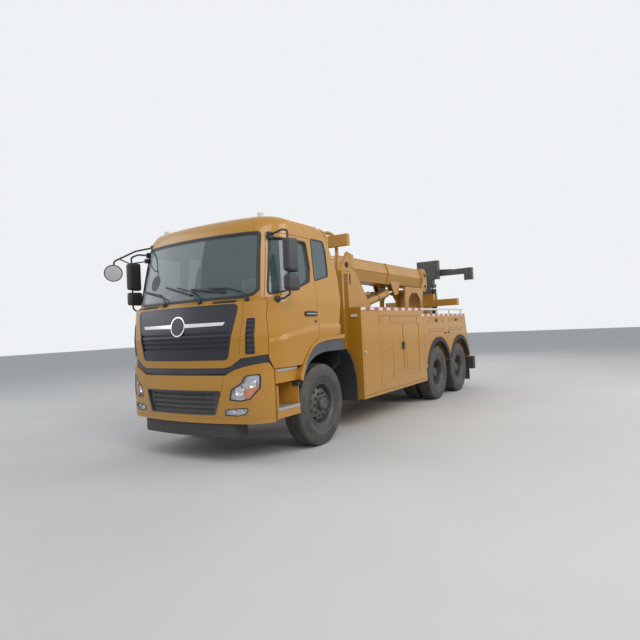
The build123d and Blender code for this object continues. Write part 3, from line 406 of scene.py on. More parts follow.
def cornerCurve(before, here, after, radius, steps):
    here = Vector(here)
    back, ahead = Vector(before) - here, Vector(after) - here
    flatness = max(math.tan(back.angle(ahead) / 2), 0.05)
    reach = min(radius / flatness, back.length * 0.48, ahead.length * 0.48)
    first, last = here + back.normalized() * reach, here + ahead.normalized() * reach
    shares = [k / steps for k in range(steps + 1)]
    return [first * (1 - t) ** 2 + here * 2 * t * (1 - t) + last * t ** 2 for t in shares]


def rounded(points, radius, steps=5):
    out = []
    for before, here, after in zip([points[-1]] + points[:-1], points, points[1:] + points[:1]):
        out += [tuple(p) for p in cornerCurve(before, here, after, radius, steps)]
    return out


def bent(points, radius, steps=6):
    out = [Vector(points[0])]
    for before, here, after in zip(points, points[1:], points[2:]):
        out += cornerCurve(before, here, after, radius, steps)
    return out + [Vector(points[-1])]


def prism(name, points, way, low, high, bevel=0):
    count = len(points)
    verts = []
    for edge in (low, high):
        for a, b in points:
            verts.append({"x": at(edge, a, b), "y": at(a, edge, b), "z": at(a, b, edge)}[way])
    faces = [list(range(count))[::-1], list(range(count, 2 * count))] + ringFaces(2, count)
    return fromLists(name, verts, faces, 0, bevel)


def tube(name, points, radius, sides=14, closed=False, flat=1.0):
    points = [at(*p) for p in points]
    count = len(points)
    verts = []
    side = None
    for n, p in enumerate(points):
        ahead = (points[(n + 1) % count] if closed or n < count - 1 else p)
        behind = (points[n - 1] if closed or n else p)
        way = (ahead - behind).normalized()
        if side is None:
            side = way.orthogonal() if abs(way.z) > 0.9 else way.cross(Vector((0, 0, 1)))
        side = (side - way * side.dot(way)).normalized()
        up = way.cross(side)
        for c, s in circle(0, 0, radius, sides):
            verts.append(p + side * c + up * s * flat)
    faces = ringFaces(count, sides, closed)
    if not closed:
        faces.append(list(range(sides))[::-1])
        faces.append([(count - 1) * sides + k for k in range(sides)])
    return fromLists(name, verts, faces)


# A round bar across the truck, as bolts, pins and caps are
def pin(x0, x1, y, z, radius, sides=6):
    return tube("pin", [(x0, y, z), (x1, y, z)], radius, sides)


def circle(a, b, radius, count, start=0.0):
    turns = [2 * math.pi * (n + start) / count for n in range(count)]
    return [(a + radius * math.cos(turn), b + radius * math.sin(turn)) for turn in turns]


def lathe(name, profile, centre, way="x", steps=64, closed=True):
    verts = []
    for c, s in circle(0, 0, 1, steps):
        for along, radius in profile:
            u, v = radius * c, radius * s
            spot = {"x": (along, u, v), "y": (u, along, v), "z": (u, v, along)}[way]
            verts.append(at(*[m + d for m, d in zip(centre, spot)]))
    return fromLists(name, verts, ringFaces(steps, len(profile), True, closed), 1e-6)


def makeFloor():
    bm = bmesh.new()
    bmesh.ops.create_grid(bm, x_segments=2, y_segments=2, size=studio["floorHalf"])
    floor = fromBmesh("floor", bm)
    material, tree, inputs = newFinish("floorFinish", {"Roughness": 0.85})
    feed(tree, addRamp(tree, addNoise(tree, 0.5, 8), studio["floorColors"]), inputs["Base Color"])
    floor.data.materials.append(material)


makeCamera()
makeStudio()
makeFloor()
print("camera, light and floor placed")

# Cab form: the same levels as the solid, drawn smooth above the cowl
cabForm = {
    # height, front, rear, half width, corner radius
    "levels": [
        (1.110, -1.376, 0.405, 1.222, 0.455),
        (1.400, -1.388, 0.416, 1.235, 0.455),
        (1.500, -1.392, 0.420, 1.240, 0.455),
        (1.630, -1.377, 0.446, 1.240, 0.455),
        (1.895, -1.345, 0.500, 1.240, 0.455),
        (1.942, -1.262, 0.505, 1.238, 0.440),
        (2.380, -1.175, 0.482, 1.190, 0.420),
        (2.755, -1.085, 0.340, 1.142, 0.400),
        (2.905, -1.000, 0.200, 1.110, 0.360),
        (2.962, -0.900, 0.090, 1.030, 0.300),
        (2.990, -0.700, -0.120, 0.850, 0.250),
    ],
    "sharp": 5,
    "bow": 3.58,
    "rearCorner": 0.045,
}
bumperForm = {
    "levels": [
        (0.490, -1.392, 0.0, 1.232, 0.450),
        (0.560, -1.405, 0.0, 1.240, 0.455),
        (0.880, -1.408, 0.0, 1.242, 0.455),
        (1.000, -1.402, 0.0, 1.240, 0.455),
        (1.200, -1.392, 0.0, 1.236, 0.450),
        (1.320, -1.390, 0.0, 1.234, 0.450),
    ],
    "sharp": 9,
    "bow": 3.58,
    "rearCorner": 0.045,
}


# A smooth line's step between its second and third point
def eased(p0, p1, p2, p3, f):
    bend = (2 * p0 - 5 * p1 + 4 * p2 - p3) * f ** 2 + (3 * p1 - p0 - 3 * p2 + p3) * f ** 3
    return 0.5 * (2 * p1 + (p2 - p0) * f + bend)


def levelAt(form, t):
    levels = form["levels"]
    n = min(int(t), len(levels) - 2)
    f = t - n
    a, b = levels[n], levels[n + 1]
    if n < form["sharp"]:
        return [p + (q - p) * f for p, q in zip(a, b)]
    before = levels[n - 1] if n > form["sharp"] else a
    after = levels[n + 2] if n + 2 < len(levels) else b
    return [eased(*values, f) for values in zip(before, a, b, after)]


def levelByHeight(form, z):
    low, high = 0.0, len(form["levels"]) - 1.0
    for _ in range(40):
        middle = (low + high) / 2
        if levelAt(form, middle)[0] < z:
            low = middle
        else:
            high = middle
    return levelAt(form, low)


def planParts(form, level, grow):
    _, front, rear, half, corner = level
    bow = form["bow"] + grow
    front, rear, half, corner = front - grow, rear + grow, half + grow, corner + grow
    centreY = front + bow
    cornerX = half - corner
    cornerY = centreY - math.sqrt((bow - corner) ** 2 - cornerX ** 2)
    return bow, centreY, cornerX, cornerY, corner, half, rear


# The raised line along the doors, above the wheels
fenderLine = {"y": -1.09, "z": 1.447, "slope": 0.163, "flatFrom": -0.13, "flat": 1.603, "fade": 0.030,
              "depth": 0.025, "start": -1.12, "run": 0.12}


def fenderStep(y, z):
    line = fenderLine["flat"]
    if y < fenderLine["flatFrom"]:
        line = fenderLine["z"] + (y - fenderLine["y"]) * fenderLine["slope"]
    fade = min(1, max(0, (line - z) / fenderLine["fade"]))
    share = min(1, max(0, (y - fenderLine["start"]) / fenderLine["run"]))
    return fenderLine["depth"] * fade * fade * (3 - 2 * fade) * share


def frontPoint(form, x, z, grow=0.0):
    bow, centreY, cornerX, cornerY, corner, *_ = planParts(form, levelByHeight(form, z), grow)
    tangent = cornerX * bow / (bow - corner)
    side = 1 if x >= 0 else -1
    x = abs(x)
    if x <= tangent:
        y = centreY - math.sqrt(bow ** 2 - x ** 2)
    else:
        y = cornerY - math.sqrt(max(0, corner ** 2 - (x - cornerX) ** 2))
    return (side * x, y, z)


def halfRing(form, level, grow, counts):
    bow, centreY, cornerX, cornerY, corner, half, rear = planParts(form, level, grow)
    tilt = math.atan2(cornerX, centreY - cornerY)
    rearCorner = form["rearCorner"] + grow
    ring = []
    for n in range(counts[0]):
        a = tilt * n / counts[0]
        ring.append((bow * math.sin(a), centreY - bow * math.cos(a)))
    for n in range(counts[1]):
        a = tilt + (math.pi / 2 - tilt) * n / counts[1]
        ring.append((cornerX + corner * math.sin(a), cornerY - corner * math.cos(a)))
    for n in range(counts[2]):
        ring.append((half, cornerY + (rear - rearCorner - cornerY) * n / counts[2]))
    for n in range(counts[3]):
        a = math.pi / 2 * n / counts[3]
        ring.append((half - rearCorner + rearCorner * math.cos(a),
                     rear - rearCorner + rearCorner * math.sin(a)))
    for n in range(counts[4] + 1):
        ring.append(((half - rearCorner) * (1 - n / counts[4]), rear))
    z = level[0]
    if form is cabForm:
        ring = [(x + (fenderStep(y, z) if x > cornerX else 0), y) for x, y in ring]
    return ring


domeRise = 0.006


# A closed skin between two offsets of a form, with or without a domed top
def skinSolid(name, form, outer, inner, steps=5, cap=False, counts=(18, 14, 26, 4, 12)):
    top = len(form["levels"]) - 1
    stops = [n / steps for n in range(top * steps + 1)]
    shells = []
    for grow in (outer, inner):
        rings = []
        for t in stops:
            level = levelAt(form, t)
            half = halfRing(form, level, grow, counts)
            z = level[0] + (grow if cap and t > top - 1 else 0)
            rings.append([(x, y, z) for x, y in half + [(-x, y) for x, y in half[-2:0:-1]]])
        shells.append(rings)
    count = len(shells[0][0])
    verts = [at(*p) for rings in shells for ring in rings for p in ring]
    levels = len(stops)
    faces = []

    def index(shell, level, n):
        return (shell * levels + level) * count + n % count

    def quad(a, b, c, d):
        faces.append([index(*a), index(*b), index(*c), index(*d)])

    for level in range(levels - 1):
        for n in range(count):
            quad((0, level, n), (0, level, n + 1), (0, level + 1, n + 1), (0, level + 1, n))
            quad((1, level, n), (1, level + 1, n), (1, level + 1, n + 1), (1, level, n + 1))
    last = levels - 1
    for n in range(count):
        quad((0, 0, n), (1, 0, n), (1, 0, n + 1), (0, 0, n + 1))
        if not cap:
            quad((0, last, n), (0, last, n + 1), (1, last, n + 1), (1, last, n))
    for shell in (0, 1) if cap else ():
        ring = shells[shell][-1]
        middle = (0, sum(p[1] for p in ring) / count, ring[0][2])
        previous = [index(shell, last, n) for n in range(count)]
        for f in (0.7, 0.4, 0.15):
            current = [len(verts) + n for n in range(count)]
            for p in ring:
                spot = at(*[m + (c - m) * f for c, m in zip(p, middle)])
                verts.append(spot + Vector((0, 0, domeRise * (1 - f))))
            for n in range(count):
                m = (n + 1) % count
                faces.append([previous[n], previous[m], current[m], current[n]])
            previous = current
        verts.append(at(*middle) + Vector((0, 0, domeRise)))
        for n in range(count):
            faces.append([previous[n], previous[(n + 1) % count], len(verts) - 1])
    return fromLists(name, verts, faces)


# Outlines shared by panels, glass and seals, as (place along the truck or across, height)
outlines = {
    "door": [(-1.040, 1.105), (-1.088, 1.240), (-1.088, 1.720), (-0.890, 2.735), (-0.098, 2.735),
             (-0.130, 2.200), (-0.130, 1.530), (-0.160, 1.425), (-0.366, 1.302), (-0.475, 1.189),
             (-0.552, 1.105)],
    "doorInner": [(-1.034, 1.108), (-1.082, 1.241), (-1.082, 1.720), (-0.886, 2.729), (-0.104, 2.729),
                  (-0.136, 2.200), (-0.136, 1.532), (-0.165, 1.430), (-0.369, 1.308), (-0.480, 1.193),
                  (-0.555, 1.108)],
    "window": [(-1.000, 1.975), (-1.000, 2.040), (-0.868, 2.675), (-0.215, 2.675), (-0.205, 2.330),
               (-0.255, 2.150), (-0.509, 2.067)],
    "quarter": [(-0.138, 2.165), (-0.085, 2.735), (0.215, 2.735), (0.245, 2.600), (0.222, 2.250)],
    "screen": [(-1.046, 2.030), (-0.990, 2.741), (0.990, 2.741), (1.046, 2.030), (0.985, 1.975),
               (0.830, 1.952), (-0.830, 1.952), (-0.985, 1.975)],
    "grille": [(-0.885, 1.882), (0.885, 1.882), (0.735, 1.226), (-0.735, 1.226)],
    "rear": [(-0.62, 2.0), (-0.62, 2.34), (-0.58, 2.38), (0.58, 2.38), (0.62, 2.34), (0.62, 2.0),
             (0.58, 1.96), (-0.58, 1.96)],
    "arch": [(-0.640, 1.00), (-0.520, 1.125), (-0.320, 1.345), (-0.070, 1.425), (0.470, 1.462), (0.90, 1.462),
             (0.90, 0.80), (-0.640, 0.80)],
    "lowerFront": [(-0.001, 1.0), (-0.001, 1.136), (0.680, 1.136), (0.775, 1.160), (0.900, 1.245),
                   (1.145, 1.275), (1.400, 1.290), (1.400, 1.0)],
}


def mirrorPoints(points):
    return [(-a, b) for a, b in points]


def bothWays(points):
    return points, mirrorPoints(points)


def boxOutline(x0, x1, z0, z1):
    return [(x0, z0), (x1, z0), (x1, z1), (x0, z1)]


def insetOutline(points, amount):
    count = len(points)
    spots = [Vector(p) for p in points]
    area = sum(spots[n - 1].x * spots[n].y - spots[n].x * spots[n - 1].y for n in range(count))
    turn = 1 if area > 0 else -1
    out = []
    for n, here in enumerate(spots):
        before = (here - spots[n - 1]).normalized()
        after = (spots[(n + 1) % count] - here).normalized()
        a, b = Vector((-before.y, before.x)), Vector((-after.y, after.x))
        out.append(tuple(here + (a + b) * turn * amount / max(1 + a.dot(b), 0.35)))
    return out


# An outline grown or shrunk by the inset, with its corners rounded
def softOutline(points, inset, radius):
    line = insetOutline(points, inset)
    return rounded(line, radius) if radius else line


# The part of a form's skin inside an outline, and a band of it between two outlines
def onSkin(name, form, points, outer, inner, hole=None, high=-0.8, low=-1.7, way="y"):
    piece = skinSolid(name, form, outer, inner)
    cut(piece, points, high, low, way, "INTERSECT")
    return cut(piece, hole, high, low, way) if hole else piece


def bandOn(name, form, points, outside, inside, outer, inner, *place):
    return onSkin(name, form, softOutline(points, *outside), outer, inner, softOutline(points, *inside),
                  *place)


def smoothLine(points, steps=5):
    spots = [Vector(p) for p in points]
    spots = [2 * spots[0] - spots[1]] + spots + [2 * spots[-1] - spots[-2]]
    out = []
    for group in zip(spots, spots[1:], spots[2:], spots[3:]):
        out += [tuple(eased(*group, n / steps)) for n in range(steps)]
    return out + [tuple(points[-1])]


def seamLine(points, width=0.004):
    left = [(x - width / 2, z) for x, z in points]
    return left + [(x + width, z) for x, z in left[::-1]]


skinDepth = (0.005, 0.0012)
doorPlace = (1.45, 0.80, "x")
cabSkin = skinSolid("cabSkin", cabForm, *skinDepth, 6, cap=True)
for points in (outlines["door"], rounded(outlines["quarter"], 0.045), outlines["arch"]):
    cut(cabSkin, points, *doorPlace)
    cut(cabSkin, points, -0.80, -1.45, "x")
cut(cabSkin, rounded(outlines["screen"], 0.05), -0.7)
cut(cabSkin, rounded(outlines["grille"], 0.07), -0.9)
cut(cabSkin, outlines["rear"], 0.9, 0.2)
for points in bothWays(outlines["lowerFront"]):
    cut(cabSkin, points, -1.035)
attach(cabSkin, "cab")
print("cab skin:", len(cabSkin.data.polygons), "faces")

doorSkin = skinSolid("doorSkin", cabForm, *skinDepth, 6, cap=True)
cut(doorSkin, outlines["doorInner"], *doorPlace, "INTERSECT")
cut(doorSkin, rounded(outlines["window"], 0.045), *doorPlace)
dress(doorSkin, "bodyPaint", "door_left", 30)
doorSkinRight = mirroredPiece("doorSkinRight", doorSkin)
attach(doorSkinRight, "door_right")
print("door skins made")

# Wheels: tyres with tread and sidewall rings, steel rims with hand holes and nuts
tyreSize = {
    "radius": axleHeight, "pitches": 54, "grooveDepth": 0.012, "slant": 0.016,
    # share of a pitch, and whether it lies in the cross groove
    "steps": [(0.0, 0), (0.05, 1), (0.26, 1), (0.31, 0), (0.62, 0)],
    # from the middle outward, down from the tread, kind
    "profile": [
        (0.000, 0.0, "rib"), (0.018, 0.0003, "rib"), (0.021, 0.012, "groove"), (0.029, 0.012, "groove"),
        (0.032, 0.0010, "rib"), (0.056, 0.0022, "rib"), (0.059, 0.012, "groove"), (0.067, 0.012, "groove"),
        (0.070, 0.0032, "lug"), (0.088, 0.0045, "lug"), (0.106, 0.0070, "lug"), (0.117, 0.0120, "lug"),
        (0.1225, 0.0200, "wall"), (0.1255, 0.0320, "wall"), (0.1290, 0.0400, "wall"),
        (0.1300, 0.0460, "wall"), (0.1345, 0.0700, "wall"), (0.1410, 0.1000, "wall"),
        (0.1450, 0.1280, "wall"), (0.1440, 0.1500, "wall"), (0.1455, 0.1540, "wall"),
        (0.1455, 0.1580, "wall"), (0.1420, 0.1620, "wall"), (0.1360, 0.1900, "wall"),
        (0.1280, 0.2150, "wall"), (0.1295, 0.2190, "wall"), (0.1270, 0.2260, "wall"),
        (0.1200, 0.2420, "wall"), (0.1150, 0.2540, "wall"), (0.1110, 0.2590, "wall"),
    ],
}
rimSize = {
    "bead": 0.2827, "holes": 10, "holeRadius": 0.027, "holeCircle": 0.212, "holeLean": (0.776, 0.631),
    "nuts": 10, "nutCircle": 0.150, "nutRadius": 0.0165, "hubBolts": 8,
    # from the rim's middle outward, and above or below the bead
    "barrel": [(-0.119, 0.004), (-0.113, -0.004), (-0.103, -0.010), (-0.073, -0.024), (0.073, -0.024),
               (0.103, -0.010), (0.113, -0.004), (0.119, 0.004), (0.122, 0.002), (0.121, -0.012),
               (0.111, -0.020), (0.077, -0.032), (-0.077, -0.032), (-0.111, -0.020), (-0.121, -0.012),
               (-0.122, 0.002)],
    # back from the disc's face, and radius
    "disc": [(0, 0.085), (0, 0.172), (0.004, 0.184), (0.030, 0.214), (0.052, 0.2427), (0.056, 0.2487),
             (0.066, 0.2487), (0.063, 0.2367), (0.040, 0.210), (0.014, 0.178), (0.012, 0.085)],
}
wheelMiddle = (0, 0, axleHeight)


def makeTyre(name, x, lugs):
    deep, pitches, profile = tyreSize["grooveDepth"], tyreSize["pitches"], tyreSize["profile"]
    profile = [(-across, drop, kind) for across, drop, kind in profile[:0:-1]] + profile
    verts = []
    for pitch in range(pitches):
        for share, low in tyreSize["steps"]:
            turn = 2 * math.pi * (pitch + share) / pitches
            for across, drop, kind in profile:
                lift = 0.0
                if low and kind == "lug":
                    lift = deep * (0.95 if lugs else 0.45)
                if low and lugs and kind == "rib" and abs(across) > 0.03:
                    lift = deep * 0.6
                if low and lugs and kind == "wall" and drop < 0.034:
                    lift = 0.006
                slant = tyreSize["slant"] * across / 0.12 if abs(across) < 0.12 else 0.0
                radius = tyreSize["radius"] - drop - lift
                y, z = radius * math.cos(turn + slant), axleHeight + radius * math.sin(turn + slant)
                verts.append(at(x + across, y, z))
    return fromLists(name, verts, ringFaces(pitches * len(tyreSize["steps"]), len(profile), True, False))


def makeRim(x, discX, way):
    barrel = [(x + across, rimSize["bead"] + rise) for across, rise in rimSize["barrel"]]
    disc = [(discX - way * back, radius) for back, radius in rimSize["disc"]]
    plate = lathe("disc", disc, wheelMiddle, "x", 120)
    out, along = rimSize["holeLean"]
    for c, s in circle(0, 0, 1, rimSize["holes"], 0.5):
        lean = Vector((out, c * along * way, s * along * way)) * 0.05
        spot = Vector((discX - way * 0.032, rimSize["holeCircle"] * c,
                       axleHeight + rimSize["holeCircle"] * s))
        carve(plate, tube("hole", [spot - lean, spot + lean], rimSize["holeRadius"], 16))
    return [lathe("barrel", barrel, wheelMiddle, "x", 72), plate]


def makeHub(discX, hubEnd, hubRadius):
    profile = [
        (discX - 0.03, 0.0), (discX - 0.03, hubRadius), (discX + 0.006, hubRadius),
        (hubEnd - 0.022, hubRadius - 0.004), (hubEnd - 0.018, hubRadius - 0.012),
        (hubEnd - 0.008, hubRadius - 0.016), (hubEnd, hubRadius - 0.026), (hubEnd, 0.030),
        (hubEnd - 0.004, 0.026), (hubEnd - 0.004, 0.0),
    ]
    pieces = [lathe("hub", profile, wheelMiddle, "x", 48, closed=False)]
    for y, z in circle(0, axleHeight, hubRadius - 0.030, rimSize["hubBolts"], 0.25):
        pieces.append(pin(hubEnd - 0.012, hubEnd + 0.006, y, z, 0.009))
    nutRadius = rimSize["nutRadius"]
    for y, z in circle(0, axleHeight, rimSize["nutCircle"], rimSize["nuts"]):
        pieces.append(pin(discX - 0.001, discX + 0.005, y, z, nutRadius + 0.004, 20))
        pieces.append(pin(discX + 0.004, discX + 0.024, y, z, nutRadius))
        pieces.append(pin(discX + 0.020, discX + 0.036, y, z, 0.0105, 10))
    return pieces


def makeDrum(inner, outer, radius=0.205):
    profile = [
        (inner, 0.06), (inner, radius - 0.02), (inner + 0.012, radius), (inner + 0.05, radius),
        (inner + 0.055, radius - 0.006), (outer - 0.03, radius - 0.006), (outer - 0.02, radius),
        (outer, radius), (outer, 0.06),
    ]
    return [lathe("drum", profile, wheelMiddle, "x", 60)]


frontTyre = makeTyre("tyreFront", 1.043, False)
frontRim = joined("rimFront", makeRim(1.043, 1.140, 1) + makeHub(1.140, 1.205, 0.086)
                  + makeDrum(1.000, 1.075))
twinTyres = joined("tyresTwin", [makeTyre("outer", 1.072, True), makeTyre("inner", 0.737, True)])
twinRims = joined("rimsTwin", makeRim(1.072, 0.9165, -1) + makeRim(0.737, 0.9025, 1)
                  + makeHub(0.9165, 1.142, 0.105) + makeDrum(0.620, 0.860))
wheelStations = {
    "front": (0.0, frontTyre, frontRim, "front_wheel_{}", "tyre_front_{}", "wheel_front_{}"),
    "middle": (4.35, twinTyres, twinRims, "middle_wheels_{}", "twin_wheel_middle_{}", "twin_wheel_middle_{}"),
    "rear": (5.70, twinTyres, twinRims, "rear_wheels_{}", "twin_wheel_rear_{}", "twin_wheel_rear_{}"),
}
for name, (station, tyre, rim, body, tyreNode, rimNode) in wheelStations.items():
    for side in ("left", "right"):
        label = name.capitalize() + side.capitalize()
        for source, kind, skin, node in ((tyre, "tyres", "tyreRubber", tyreNode),
                                         (rim, "rims", "rimSteel", rimNode)):
            copy = newObject(kind + label, source.data.copy())
            for vert in copy.data.vertices:
                vert.co.y += station
            if side == "right":
                other = mirroredPiece(kind + label, copy)
                bpy.data.objects.remove(copy)
                copy = other
            dress(copy, skin, body.format(side), 32)
            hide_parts(node.format(side))
for piece in (frontTyre, twinTyres, frontRim, twinRims):
    bpy.data.objects.remove(piece)
print("wheels made")

# Lamps in the bumper: silver bowls, chrome reflectors, an amber corner and a clear lens
lampSet = {
    "head": [(0.755, 0.767), (0.782, 0.886), (0.915, 0.968), (0.936, 1.022), (0.981, 1.048), (1.094, 1.056),
             (1.106, 1.022), (1.102, 0.895), (1.003, 0.774), (0.895, 0.754)],
    "fog": [(0.694, 0.591), (0.697, 0.646), (0.739, 0.661), (0.966, 0.675), (0.978, 0.647), (0.945, 0.602),
            (0.845, 0.583)],
    "amber": [(0.935, 0.745), (1.010, 0.770), (1.110, 0.890), (1.112, 0.925), (1.000, 0.902), (0.940, 0.880)],
    "depths": {"head": 0.045, "fog": 0.030},
    # across, height, radius, depth of the dish, distance behind the lens
    "reflectors": [(0.868, 0.862, 0.062, 0.012, 0.030), (1.010, 0.940, 0.055, 0.012, 0.030),
                   (0.790, 0.628, 0.030, 0.008, 0.020), (0.895, 0.634, 0.024, 0.008, 0.020)],
}
lampPlace = (-1.02, -1.6, "y", "INTERSECT")


def lampBowl(name, points, depth):
    bowl = cut(skinSolid(name, bumperForm, -0.0005, -depth - 0.006), insetOutline(points, 0.001), *lampPlace)
    hollow = cut(skinSolid("tool", bumperForm, 0.02, -depth), insetOutline(points, 0.011), *lampPlace)
    return carve(bowl, hollow)


def reflector(x, z, radius, deep, sink):
    front = Vector(frontPoint(bumperForm, x, z, -sink))
    near = Vector(frontPoint(bumperForm, x + 0.01, z, -sink))
    up = Vector((0, 0, 1))
    way = (near - front).normalized().cross(up).normalized()
    if way.y > 0:
        way = -way
    side = way.cross(up).normalized()
    rings = [(1.0, 0.0), (0.97, 0.006), (0.92, 0.002), (0.75, -deep * 0.6), (0.45, -deep), (0.25, -deep),
             (0.2, deep)]
    count = 28
    verts = []
    for share, back in rings:
        for c, s in circle(0, 0, radius * share, count):
            verts.append(at(*(front + way * back + side * c + up * s)))
    faces = ringFaces(len(rings), count)
    faces.append([(len(rings) - 1) * count + n for n in range(count)])
    return fromLists("reflector", verts, faces)


bowls = joined("lampBowlsLeft", [lampBowl(key, lampSet[key], depth)
                                 for key, depth in lampSet["depths"].items()])
lenses = [cut(skinSolid(key, bumperForm, 0.004, 0.001), insetOutline(lampSet[key], 0.002), *lampPlace)
          for key in lampSet["depths"]]
lens = joined("lampLensLeft", lenses)
mirrors = joined("lampReflectorsLeft", [reflector(*values) for values in lampSet["reflectors"]])
corner = cut(skinSolid("lampCornerLeft", bumperForm, -0.008, -0.030), lampSet["amber"], *lampPlace)
for piece, skin in ((bowls, "lampSilver"), (lens, "lensGlass"), (mirrors, "chrome"), (corner, "lampAmber")):
    bothSides(piece, skin, "chassis")
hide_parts("front_lamps")
print("front lamps made")

# Door mirrors: two rounded heads on a bent arm, glass to the rear
mirrorSet = {
    # inner, outer, front, rear, low, high
    "big": (1.345, 1.465, -1.010, -0.815, 2.215, 2.620),
    "small": (1.345, 1.465, -1.010, -0.805, 2.000, 2.195),
    "armRadius": 0.013, "roundness": 0.035, "taper": (0.72, 0.93),
    "upper": [(1.072, -0.855, 2.698), (1.300, -0.900, 2.730), (1.400, -0.940, 2.700), (1.400, -0.940, 2.600)],
    "lower": [(1.205, -0.935, 1.915), (1.320, -0.950, 1.915), (1.400, -0.940, 1.960), (1.400, -0.940, 2.020)],
}


def mirrorHead(name):
    x0, x1, y0, y1, z0, z1 = mirrorSet[name]
    bm = bmesh.new()
    bmesh.ops.create_cube(bm, size=1)
    bmesh.ops.scale(bm, vec=(x1 - x0, y1 - y0, z1 - z0), verts=bm.verts)
    for vert in bm.verts:
        if vert.co.y < 0:
            vert.co.x *= mirrorSet["taper"][0]
            vert.co.z *= mirrorSet["taper"][1]
    bmesh.ops.translate(bm, vec=at((x0 + x1) / 2, (y0 + y1) / 2, (z0 + z1) / 2), verts=bm.verts)
    bmesh.ops.bevel(bm, geom=bm.edges[:], offset=mirrorSet["roundness"], segments=5, affect="EDGES",
                    profile=0.6)
    return fromBmesh(name, bm)


heads = joined("mirrorHeadsLeft", [mirrorHead("big"), mirrorHead("small")])
arms = joined("mirrorArmsLeft", [
    tube("post", [(1.400, -0.940, 1.960), (1.400, -0.940, 2.690)], 0.012),
    tube("upper", bent(mirrorSet["upper"], 0.04), mirrorSet["armRadius"]),
    tube("lower", bent(mirrorSet["lower"], 0.03), mirrorSet["armRadius"]),
    blockPiece("footHigh", (1.066, -0.920, 2.655), (1.116, -0.810, 2.735), 0.014),
    lathe("footLow", [(1.190, 0.0), (1.190, 0.040), (1.214, 0.042), (1.234, 0.036), (1.248, 0.022),
                      (1.252, 0.0)],
          (0, -0.935, 1.912), "x", 28, False),
])
glass = joined("mirrorGlassLeft", [
    blockPiece("big", (1.362, -0.818, 2.240), (1.448, -0.812, 2.596), 0.003),
    blockPiece("small", (1.362, -0.808, 2.022), (1.448, -0.802, 2.172), 0.003),
])
headsRight = bothSides(heads, "blackPlastic", "door_left", 40)
bothSides(arms, "blackPlastic", "door_left", 40)
bothSides(glass, "chrome", "door_left", 40)
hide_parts("mirror_left")
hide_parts("mirror_right")
print("mirrors made")

# Cab details: seals, seams, vents, grips, handles and arch flares
cabDetail = {
    "seams": [[(0.900, 1.972), (0.942, 1.781), (0.884, 1.268)],
              [(0.931, 2.764), (0.880, 2.872), (0.835, 2.958)]],
    "grips": [(-0.780, -0.450, 1.911), (0.520, 0.830, 1.909)],
    "vent": [(0.958, 1.290), (1.050, 1.290), (1.062, 1.700), (0.984, 1.700)],
    "slatLow": 1.322, "slatPitch": 0.056, "slatHeight": 0.024, "slats": 7,
    "lipOuter": [(-0.612, 0.936), (-0.606, 1.010), (-0.526, 1.117), (-0.326, 1.338), (-0.076, 1.422),
                 (0.200, 1.441), (0.498, 1.452)],
    "flareOuter": [(-0.572, 0.900), (-0.544, 0.990), (-0.470, 1.155), (-0.368, 1.263), (-0.233, 1.344),
                   (-0.052, 1.383), (0.183, 1.398), (0.498, 1.400)],
    "flareInner": [(-0.536, 0.912), (-0.448, 1.049), (-0.358, 1.134), (-0.224, 1.195), (-0.042, 1.231),
                   (0.169, 1.236), (0.498, 1.233)],
}
for points in cabDetail["seams"]:
    for line in bothWays(seamLine(points)):
        cut(cabSkin, line, -0.7)
gripSlots = [boxOutline(x0, x1, z - 0.012, z + 0.013) for x0, x1, z in cabDetail["grips"]]
for slot in gripSlots:
    cut(cabSkin, rounded(slot, 0.010))
for line in bothWays(rounded(cabDetail["vent"], 0.012)):
    cut(cabSkin, line, -0.9)
dress(cabSkin, "bodyPaint", "cab", 30)
grips = []
for slot in gripSlots:
    grips.append(onSkin("grip", cabForm, rounded(slot, 0.010), 0.0022, 0.0004))
    grips.append(bandOn("lip", cabForm, slot, (-0.003, 0.012), (0.002, 0.009), 0.0075, 0.0010))
dress(joined("cowlGrips", grips), "trimRubber", "cab")

# Each band: outline, inset and corner radius of both edges, then outer and inner face
seals = [bandOn("screen", cabForm, outlines["screen"], (-0.012, 0.06), (0.014, 0.045), 0.0085, -0.004),
         bandOn("rear", cabForm, outlines["rear"], (-0.016, 0), (0.014, 0), 0.0065, -0.004, 0.9, 0.2)]
seals += withMirror([bandOn("quarter", cabForm, outlines["quarter"], (-0.007, 0.05), (0.010, 0.04), 0.0075,
                            -0.003, 1.45, 0.8, "x")])
dress(joined("cabSeals", seals), "trimRubber", "cab")
frit = bandOn("screenFrit", cabForm, outlines["screen"], (0.012, 0.05), (0.026, 0.05), 0.0044, 0.0026)
dress(frit, "grilleBlack", "cab")
windowSeal = bandOn("windowSealLeft", cabForm, outlines["window"], (-0.008, 0.05), (0.012, 0.04), 0.0080,
                    -0.003, 1.45, 0.8, "x")
bothSides(windowSeal, "trimRubber", "door_left")
print("seals and seams made")

vent = cabDetail["vent"]
ventPieces = [onSkin("floor", cabForm, rounded(vent, 0.012), -0.0122, -0.0138),
              bandOn("rim", cabForm, vent, (-0.004, 0.016), (0.006, 0.008), 0.0070, -0.0120)]
for n in range(cabDetail["slats"]):
    z = cabDetail["slatLow"] + n * cabDetail["slatPitch"]
    outline = boxOutline(0.90, 1.10, z - 0.002, z + cabDetail["slatHeight"] + 0.002)
    slat = onSkin("slat", cabForm, outline, 0.0030, -0.0125)
    ventPieces.append(cut(slat, insetOutline(vent, 0.004), -0.9, how="INTERSECT"))
bothSides(joined("ventLeft", ventPieces), "blackPlastic", "cab")

